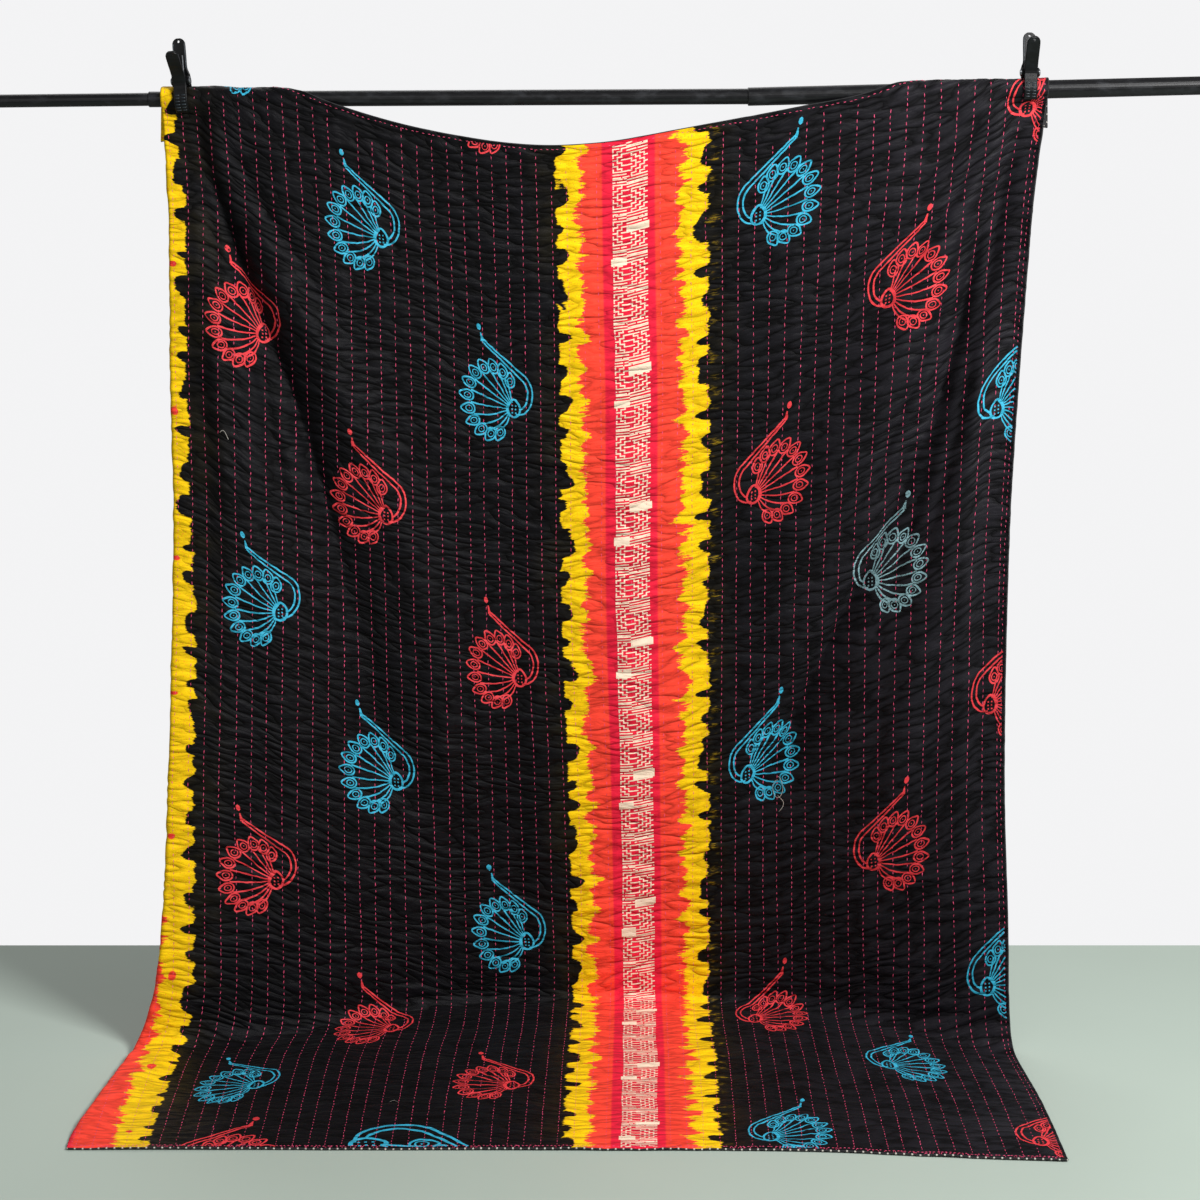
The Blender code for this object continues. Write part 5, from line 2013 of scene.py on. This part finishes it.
@dataclass
class Quilt:
    """The quilt: its printed face, dotted reverse, stitches and prints, all on one drape."""

    rows: int = 401
    hidden_columns: int = 6
    fold_columns: int = 10
    border_columns: int = 22
    even_columns: int = 207
    border_end: float = 0.214
    closest: float = 0.0012
    plain_between: Pair = (0.62, 1.0)
    plain_every: int = 3
    rim_rings: int = 6
    jaw_above: float = 0.05
    jaw_ease: float = 0.04
    stitch_pitch: float = 0.0103
    stitch_spread: float = 0.13
    stitch_closest: float = 0.006
    stitch_length: float = 0.0062
    stitch_lengths: Pair = (0.72, 1.22)
    stitch_width: float = 0.0012
    stitch_widths: Pair = (0.8, 1.15)
    stitch_stray: float = 0.00025
    stitch_lean: float = 0.07
    stitch_clear: float = 0.008
    hem_inset: float = 0.0055
    hem_crest: float = 0.0007
    hem_shift: float = 0.18
    hem_stray: float = 0.0004
    hem_lean: float = 0.12
    hem_lengths: Pair = (0.0038, 0.0052)
    hem_width: float = 0.0011
    whipped: int = 210
    whipped_from: float = 0.01
    whipped_v: Pair = (0.0025, 0.0042)
    whipped_lean: Pair = (0.35, 0.3)
    whipped_lengths: Pair = (0.003, 0.0052)
    whipped_width: float = 0.0012
    stitch_seed: int = 51
    hem_seed: int = 61
    print_seed: int = 100
    print_lift: float = 0.0003
    print_stray: float = 0.004
    loose_lift: float = 0.0012
    loose_width: float = 0.0008

    def __post_init__(self) -> None:
        """Lay out the sheet and both its surfaces."""
        self.drape = Drape()
        self.stitching = Stitching()
        self.puckers = Puckers(self.stitching)
        v = np.linspace(0.0, QUILT_LENGTH, self.rows)
        u = self.columns(v)
        v = np.broadcast_to(v[:, None], u.shape).copy()
        hanging = self.drape.off_floor(self.drape.layer_u(u, v), v)
        half_turn = math.pi / 2 * self.drape.turn_radius(v)
        under = eased((self.drape.turned_width(v) - u) / half_turn)
        loose = (1 - self.pressed(u, v)) * (1 - under * (1 - hanging))
        crease = self.puckers.creases(u, v) * loose
        puff = self.puckers.puffs(u, v) * loose
        middle = ClothGrid(u, v, self.drape.place(u, v, 0.0 * u))
        free = hanging * self.drape.below_bar(self.drape.layer_u(u, v), v)
        half = QUILT_THICKNESS / 2
        self.face = middle.offset(half + crease + puff)
        self.reverse = middle.offset(-half + crease - puff * free)

    def columns(self, v: Array) -> Array:
        """Space out the columns, close together round the turned border.

        Args:
            v: of each row.

        Returns:
            u of every column in each row.
        """
        fold = self.drape.turned_width(v)[:, None]
        half = math.pi * self.drape.turn_radius(v)[:, None] / 2
        past = fold + half
        counts = (self.hidden_columns, self.fold_columns, self.border_columns)
        shares = (np.linspace(0.0, 1.0, count, endpoint=False) for count in counts)
        starts, spans = (0.0, fold - half, past), (fold - half, 2 * half, self.border_end - past)
        parts = [start + span * share for start, span, share in zip(starts, spans, shares)]
        even = np.linspace(self.border_end, QUILT_WIDTH, self.even_columns + 1)
        u = np.concatenate([*parts, np.broadcast_to(even, (len(v), len(even)))], axis=1)
        number = np.arange(u.shape[1])
        return np.maximum(u, self.closest * number * (number < sum(counts) + 2))

    def pressed(self, u: Array, v: Array) -> Array:
        """How firmly the jaws press the cloth flat.

        Args:
            u: across the cloth.
            v: along it.

        Returns:
            1 where a jaw presses it, 0 away from it.
        """
        front = self.drape.layer_u(u, v)
        sizes = self.drape.run_sizes(front)
        past = v * sizes.total / QUILT_LENGTH - sizes.hang_end
        near = eased((past + self.jaw_above) / self.jaw_ease)
        return np.clip(self.drape.jaw_hold(front) * near, 0.0, 1.0)

    def reverse_mesh(self) -> MeshData:
        """The dotted side, with the hems that roll round to meet the face.

        Returns:
            Its mesh.
        """
        u = self.face.u[0]
        plain = (u > self.plain_between[0]) & (u < self.plain_between[1])
        picked = np.flatnonzero(~plain | (np.arange(len(u)) % self.plain_every == 0))
        data = self.reverse.subset(np.arange(self.rows), picked).mesh(-1)
        for rim in RIMS:
            self.add_rim(data, rim)
        return data

    def add_rim(self, data: MeshData, rim: Rim) -> None:
        """Roll one hem from the face to the reverse.

        Args:
            data: what to add it to.
            rim: the hem.
        """
        front, back = self.face.points[rim.edge], self.reverse.points[rim.edge]
        middle = (front + back) / 2
        away = middle - (self.face.points[rim.inner] + self.reverse.points[rim.inner]) / 2
        across = front - back
        leaning = np.sum(away * across, axis=-1, keepdims=True)
        away -= across * leaning / np.sum(across * across, axis=-1, keepdims=True)
        out = normalised(away) * QUILT_THICKNESS * 0.5
        turns = np.linspace(0.0, math.pi, self.rim_rings)
        rings = [middle + across / 2 * math.cos(turn) + out * math.sin(turn) for turn in turns]
        places = pairs(self.face.u[rim.edge], self.face.v[rim.edge])
        if not rim.dotted:
            places = (np.floor(places / DOT_PITCH) + 0.25) * DOT_PITCH
        faces = grid_faces(len(rings), len(middle))[:, :: -1 if rim.flipped else 1]
        data.add(np.concatenate(rings), faces, np.tile(places, (len(rings), 1)))

    def running_stitches(self, shift: float) -> Drawing:
        """The lines of stitches along the quilt.

        Args:
            shift: where the first one starts, as a share of the pitch.

        Returns:
            Their drawing.
        """
        draws = np.random.default_rng(self.stitch_seed)
        drawing, stitcher = Drawing(0.0), Stitcher()
        per_line = int(QUILT_LENGTH / self.stitch_pitch) - 1
        clear = self.stitch_clear
        for number in range(round(QUILT_WIDTH / self.stitching.spacing)):
            spread = 1 + self.stitch_spread * draws.standard_normal(per_line)
            steps = np.maximum(self.stitch_pitch * spread, self.stitch_closest)
            v = np.cumsum(steps) - self.stitch_pitch * (1 - shift)
            v = v[(v > clear) & (v < QUILT_LENGTH - clear)]
            count = len(v)
            u = self.stitching.line_u(np.full(count, float(number)), v)
            u = u + draws.normal(0.0, self.stitch_stray, count)
            ways = pairs(draws.normal(0.0, self.stitch_lean, count), np.ones(count))
            lengths = self.stitch_length * draws.uniform(*self.stitch_lengths, count)
            widths = self.stitch_width * draws.uniform(*self.stitch_widths, count)
            stitcher.add(drawing, pairs(u, v), ways, lengths, widths)
        return drawing

    def hem_stitches(self) -> Drawing:
        """The dashes along the hems, and the uneven whipped ones over the bottom hem.

        Returns:
            Their drawing.
        """
        draws = np.random.default_rng(self.hem_seed)
        drawing, stitcher = Drawing(0.0), Stitcher(crest=self.hem_crest)
        size = np.array((QUILT_WIDTH, QUILT_LENGTH))
        for hem in HEMS:
            start, end = (
                np.where(corner, size - self.hem_inset, self.hem_inset) + (0.0, hem.inward)
                for corner in (hem.start, hem.end)
            )
            count = int(np.linalg.norm(end - start) / hem.pitch)
            shifts = draws.uniform(-self.hem_shift, self.hem_shift, count)
            share = (np.arange(count) + 0.5 + shifts) / count
            middles = start + share[:, None] * (end - start)
            middles = middles + draws.normal(0.0, self.hem_stray, (count, 2))
            ways = normalised(end - start) + draws.normal(0.0, self.hem_lean, (count, 2))
            lengths = draws.uniform(*self.hem_lengths, count)
            stitcher.add(drawing, middles, ways, lengths, np.full(count, self.hem_width))
        count = self.whipped
        u = np.sort(draws.uniform(self.whipped_from, QUILT_WIDTH - self.whipped_from, count))
        middles = pairs(u, draws.uniform(*self.whipped_v, count))
        ways = pairs(draws.normal(*self.whipped_lean, count), np.ones(count))
        lengths = draws.uniform(*self.whipped_lengths, count)
        stitcher.add(drawing, middles, ways, lengths, np.full(count, self.whipped_width))
        return drawing

    def prints(self) -> dict[Ink, Drawing]:
        """The block prints.

        Returns:
            The drawing of each ink.
        """
        drawings = {ink: Drawing(self.print_lift) for ink in Ink}
        block = PeacockBlock()
        seed = self.print_seed
        for line in COLUMNS:
            draws = np.random.default_rng(round(line.u * 1000))
            for row, ink in enumerate(line.inks):
                seed += 1
                stray = draws.normal(0.0, self.print_stray, 2)
                u, v = stray + np.array(line.nudges.get(row, (0.0, 0.0)))
                place = (line.u + u, line.top - PRINT_PITCH * row + v)
                block.draw(drawings[ink], place, line.mirrored, seed, level=line.level)
        for cut in PART_PRINTS:
            drawing = drawings[cut.ink]
            block.draw(drawing, cut.place, True, cut.seed, size=cut.size, turned=cut.turned)
        return drawings

    def loose_threads(self) -> Drawing:
        """A loop of thread with its tail and two short ends that lie loose on the face.

        Returns:
            Their drawing.
        """
        drawing = Drawing(self.loose_lift)
        t = np.linspace(0.0, 1.0, 40)
        turn = 2 * math.pi * t
        threads = (
            (0.009 * np.sin(turn), 0.018 * np.cos(turn) * (1 - 0.3 * t), (1.115, 0.92)),
            (0.010 * np.sin(3 * t), -0.022 - 0.026 * t, (1.115, 0.93)),
            (0.012 * t, 0.006 * np.sin(4 * t), (0.165, 1.40)),
            (0.014 * t, 0.005 * np.sin(4 * t), (0.475, 0.165)),
        )
        for across, along, place in threads:
            drawing.stroke(pairs(across, along) + place, self.loose_width)
        return drawing

    def build(self, groups: Groups) -> None:
        """Make every piece, attach each to the root, and hide the imported quilt.

        Args:
            groups: the shared node groups.
        """
        finishes = (PINK_THREAD, GREY_THREAD, WHITE_INK, DyedCotton(), ReverseCotton())
        pink, grey, white, printed, dotted = (finish.make(groups) for finish in finishes)
        face, back = self.face, self.reverse.flipped()
        piece = face.mesh().build("quilt_face", printed, baked=True)
        others = [
            self.reverse_mesh().build("quilt_reverse", dotted, baked=True),
            self.running_stitches(0.5).lay(face, "stitches_face", pink),
            self.running_stitches(1.0).lay(back, "stitches_reverse", pink),
            self.hem_stitches().lay(face, "hem_stitches", pink),
        ]
        for ink, drawing in self.prints().items():
            others.append(drawing.lay(face, ink.value, INK_FINISHES[ink].make(groups)))
        band = WhiteBand().draw(Drawing(self.print_lift))
        others.append(band.lay(face, "print_white", white))
        others.append(self.loose_threads().lay(face, "loose_threads", grey))
        for made in (piece, *others):
            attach(made, "root")
            LOG.info("%s has %d faces", made.name, len(made.data.polygons))
        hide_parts("quilt")


class SoftLight(NamedTuple):
    """A square soft light: where it stands, what it points at, its side and its watts."""

    name: str
    place: Point
    aim: Point
    size: float
    power: float

    def build(self) -> None:
        """Add the light to the scene."""
        data = bpy.data.lights.new(self.name, "AREA")
        data.energy, data.size = self.power, self.size
        light = bpy.data.objects.new(self.name, data)
        light.location = self.place
        way = Vector(self.aim) - Vector(self.place)
        light.rotation_mode = "QUATERNION"
        light.rotation_quaternion = way.to_track_quat("-Z", "Y")
        bpy.context.scene.collection.objects.link(light)


LIGHTS = (
    SoftLight("key", (2.1, -1.9, 3.1), (0.0, -0.1, 0.8), 1.2, 205.0),
    SoftLight("fill", (-1.4, -3.6, 2.9), (0.0, 0.1, 1.0), 2.4, 20.0),
    SoftLight("rear", (-0.6, 2.6, 3.0), (0.0, 0.2, 0.9), 2.4, 38.0),
)


@dataclass
class Studio:
    """The camera, the soft light and the pale floor."""

    camera_place: Point = (0.0, -4.7115, 2.03)
    camera_down: float = 15.0
    lens: float = 97.5
    sensor: float = 36.0
    floor_front: float = -6.0
    floor_back: float = 0.56
    floor_side: float = 5.0
    floor_below: float = 0.0004
    surround: Colour = (1.0, 1.0, 1.01)
    ambient: float = 0.25
    backdrop: float = 0.90

    def build(self, groups: Groups) -> None:
        """Set everything up.

        Args:
            groups: the shared node groups.
        """
        bpy.context.scene.view_settings.view_transform = "Standard"
        data = bpy.data.cameras.new("camera")
        data.lens, data.sensor_width = self.lens, self.sensor
        camera = bpy.data.objects.new("camera", data)
        camera.location = self.camera_place
        camera.rotation_euler = (math.radians(90.0 - self.camera_down), 0.0, 0.0)
        bpy.context.scene.collection.objects.link(camera)
        bpy.context.scene.camera = camera
        self.build_floor(groups)
        self.build_world()
        for light in LIGHTS:
            light.build()

    def build_floor(self, groups: Groups) -> None:
        """A plain floor that ends behind the quilt.

        Args:
            groups: the shared node groups.
        """
        mesh = bpy.data.meshes.new("floor")
        x, front, back = self.floor_side, self.floor_front, self.floor_back
        corners = [(-x, front, 0), (x, front, 0), (x, back, 0), (-x, back, 0)]
        mesh.from_pydata(corners, [], [(0, 1, 2, 3)])
        mesh.materials.append(FloorPaint().make(groups))
        floor = bpy.data.objects.new("floor", mesh)
        floor.location.z = -self.floor_below
        bpy.context.scene.collection.objects.link(floor)

    def build_world(self) -> None:
        """A pale surrounding that the camera sees a little brighter than it lights."""
        world = bpy.data.worlds.new("studio")
        world.use_nodes = True
        bpy.context.scene.world = world
        graph = Graph(world.node_tree)
        seen = graph.node("LightPath").outputs["Is Camera Ray"]
        strength = graph.plus(seen, self.backdrop - self.ambient, self.ambient)
        background = world.node_tree.nodes["Background"]
        graph.put(background.inputs["Color"], self.surround)
        graph.put(background.inputs["Strength"], strength)


@dataclass
class Crossbar:
    """The telescoping bar, as packed, with its paint."""

    nodes: tuple[str, ...] = ("crossbar_left", "crossbar_middle", "crossbar_right")

    def dress(self, nodes: dict[str, Piece], groups: Groups) -> None:
        """Paint every section.

        Args:
            nodes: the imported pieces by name.
            groups: the shared node groups.
        """
        material = BAR_PAINT.make(groups)
        for name in self.nodes:
            repaint(nodes[name], material)
            LOG.info("dressed %s", name)


class ClampPlace(NamedTuple):
    """Where a clamp sits on the bar, and how far its handles turn, in degrees."""

    name: str
    x: float
    jaw_radius: float
    tilt: float
    turn: float
    lean: float


CLAMP_PLACES = (
    ClampPlace("clamp_left", -0.636, 0.0215, 14.0, -6.0, 5.0),
    ClampPlace("clamp_right", 0.656, 0.0182, 0.0, 0.0, -1.0),
)


@dataclass
class SpringClamps:
    """Both clamps, as packed, with the ribs and lips moulded on their arms, these in a lighter
    nylon that is a painted highlight.
    """

    arm_thickness: float = 0.0045
    half_width: float = 0.0100
    lug_rise: float = 0.0079
    handle: tuple[Pair, ...] = ((0.0117, 0.013), (0.0210, 0.036), (0.0300, 0.058))
    lip_size: Pair = (0.0016, 0.0013)
    lip_inset: float = 0.75
    lip_ends: Pair = (0.001, 0.008)
    lip_steps: int = 26
    rib_turns: tuple[float, ...] = (-20.0, -9.0, 2.0, 13.0, 24.0, 34.0)
    rib_size: Pair = (0.0019, 0.0011)
    rib_steps: int = 5
    rib_columns: tuple[Pair, ...] = ((-0.0078, -0.0012), (0.0012, 0.0078))
    ridge_steps: int = 8
    end_rise: float = 0.35
    sunk: float = 0.0002

    def ridge(
        self, data: MeshData, place: ClampPlace, line: tuple[Array, Array, Array], size: Pair
    ) -> None:
        """Add a rounded ridge, closed at both ends.

        Args:
            data: what to add it to.
            place: which clamp it is on.
            line: points along its foot, about the clamp's own middle, with unit vectors out of
                the surface and across the ridge at each.
            size: width of its foot, and height that it stands proud.
        """
        middle, up, side = line
        width, height = size
        turns = np.linspace(0.0, math.pi, self.ridge_steps)
        cosines, sines = np.cos(turns)[:, None], np.sin(turns)[:, None]
        rows = []
        for number, (point, out, across) in enumerate(zip(middle, up, side)):
            rise = height * (self.end_rise if number in (0, len(middle) - 1) else 1.0)
            arc = point + cosines * across * width / 2 + sines * out * rise
            rows.append(arc - self.sunk * out)
        points = np.concatenate(rows)
        cap = np.array([(0, 1, 6, 7), (1, 2, 5, 6), (2, 3, 4, 5)])
        ends = [cap[:, ::-1], cap + len(points) - len(turns)]
        faces = np.concatenate([grid_faces(len(rows), len(turns)), *ends])
        top = points[faces[len(turns) // 2 - 1]]
        looks_out = np.dot(np.cross(top[1] - top[0], top[3] - top[0]), up[0]) > 0
        turns = [math.radians(part) for part in (place.tilt, -place.lean, place.turn)]
        at = (place.x, BAR_DEPTH, float(Drape().bar_height(np.array(place.x))))
        turned = points @ np.array(Euler(turns).to_matrix()).T
        data.add(turned + np.array(at), faces if looks_out else faces[:, ::-1], points[:, :2])

    def lips(self, pivot: float) -> list[tuple[Array, Array]]:
        """The raised lips along both edges of the front handle.

        Args:
            pivot: height of the clamp's pin over its middle.

        Returns:
            The foot of each and the way out of the handle there, as rows of x, y and z.
        """
        handle = np.array([(-out, pivot + rise) for out, rise in self.handle])
        keys = np.concatenate([[0.0], np.cumsum(np.hypot(*np.diff(handle, axis=0).T))])
        low, high = self.lip_ends
        along = np.linspace(low, keys[-1] - high, self.lip_steps)
        line = pairs(*(rounded(along, keys, handle[:, k]) for k in (0, 1)))
        inward = turned_right(normalised(np.gradient(line, axis=0)))
        foot = line + inward * self.arm_thickness / 2
        x = self.half_width - self.lip_size[0] * self.lip_inset
        up = np.insert(inward, 0, 0.0, axis=1)
        return [(np.insert(foot, 0, edge * x, axis=1), up) for edge in (-1.0, 1.0)]

    def build_lips(self, place: ClampPlace, material: Material) -> Piece:
        """Make the lips of the handles and the ribs across the jaws, as one piece.

        Args:
            place: which clamp's.
            material: their nylon, lighter than the arms' as a painted highlight.

        Returns:
            The piece.
        """
        data = MeshData()
        steps = self.rib_steps
        radius = place.jaw_radius + self.arm_thickness
        for front in (1.0, -1.0):
            mirror = np.array((1.0, front, 1.0))
            for middle, up in self.lips(place.jaw_radius + self.lug_rise):
                side = np.tile((1.0, 0.0, 0.0), (len(middle), 1))
                self.ridge(data, place, (middle * mirror, up * mirror, side), self.lip_size)
            for turn in np.radians(self.rib_turns):
                out = np.array((0.0, -math.cos(turn), math.sin(turn)))
                around = np.array((0.0, math.sin(turn), math.cos(turn)))
                up, side = (np.tile(way, (steps, 1)) * mirror for way in (out, around))
                for low, high in self.rib_columns:
                    middle = np.tile(out * radius, (steps, 1))
                    middle[:, 0] = np.linspace(low, high, steps)
                    self.ridge(data, place, (middle * mirror, up, side), self.rib_size)
        return data.build(f"{place.name}_ribs", material)

    def dress(self, nodes: dict[str, Piece], groups: Groups) -> None:
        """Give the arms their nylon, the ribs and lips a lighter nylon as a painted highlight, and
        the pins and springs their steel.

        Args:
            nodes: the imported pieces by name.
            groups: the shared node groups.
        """
        finishes = (CLAMP_NYLON_HIGHLIT, CLAMP_NYLON, CLAMP_STEEL)
        highlit_nylon, nylon, steel = (finish.make(groups) for finish in finishes)
        materials = {"front_arm": nylon, "back_arm": nylon, "pin": steel, "spring": steel}
        for place in CLAMP_PLACES:
            for part, material in materials.items():
                repaint(nodes[f"{place.name}_{part}"], material)
            lips = self.build_lips(place, highlit_nylon)
            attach(lips, "root")
            count = len(lips.data.polygons)
            LOG.info("dressed %s, %s has %d faces", place.name, lips.name, count)


def repaint(piece: Piece, material: Material) -> None:
    """Put one material in every slot of a piece.

    Args:
        piece: what is painted.
        material: what it is painted with.
    """
    if not piece.material_slots:
        piece.data.materials.append(material)
    for slot in piece.material_slots:
        slot.material = material


def main() -> None:
    """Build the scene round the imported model."""
    logging.basicConfig(level=logging.INFO, format="%(name)s: %(message)s")
    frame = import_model()
    groups = Groups()
    Studio().build(groups)
    Quilt().build(groups)
    Crossbar().dress(frame["nodes"], groups)
    SpringClamps().dress(frame["nodes"], groups)


if __name__ == "__main__":
    main()
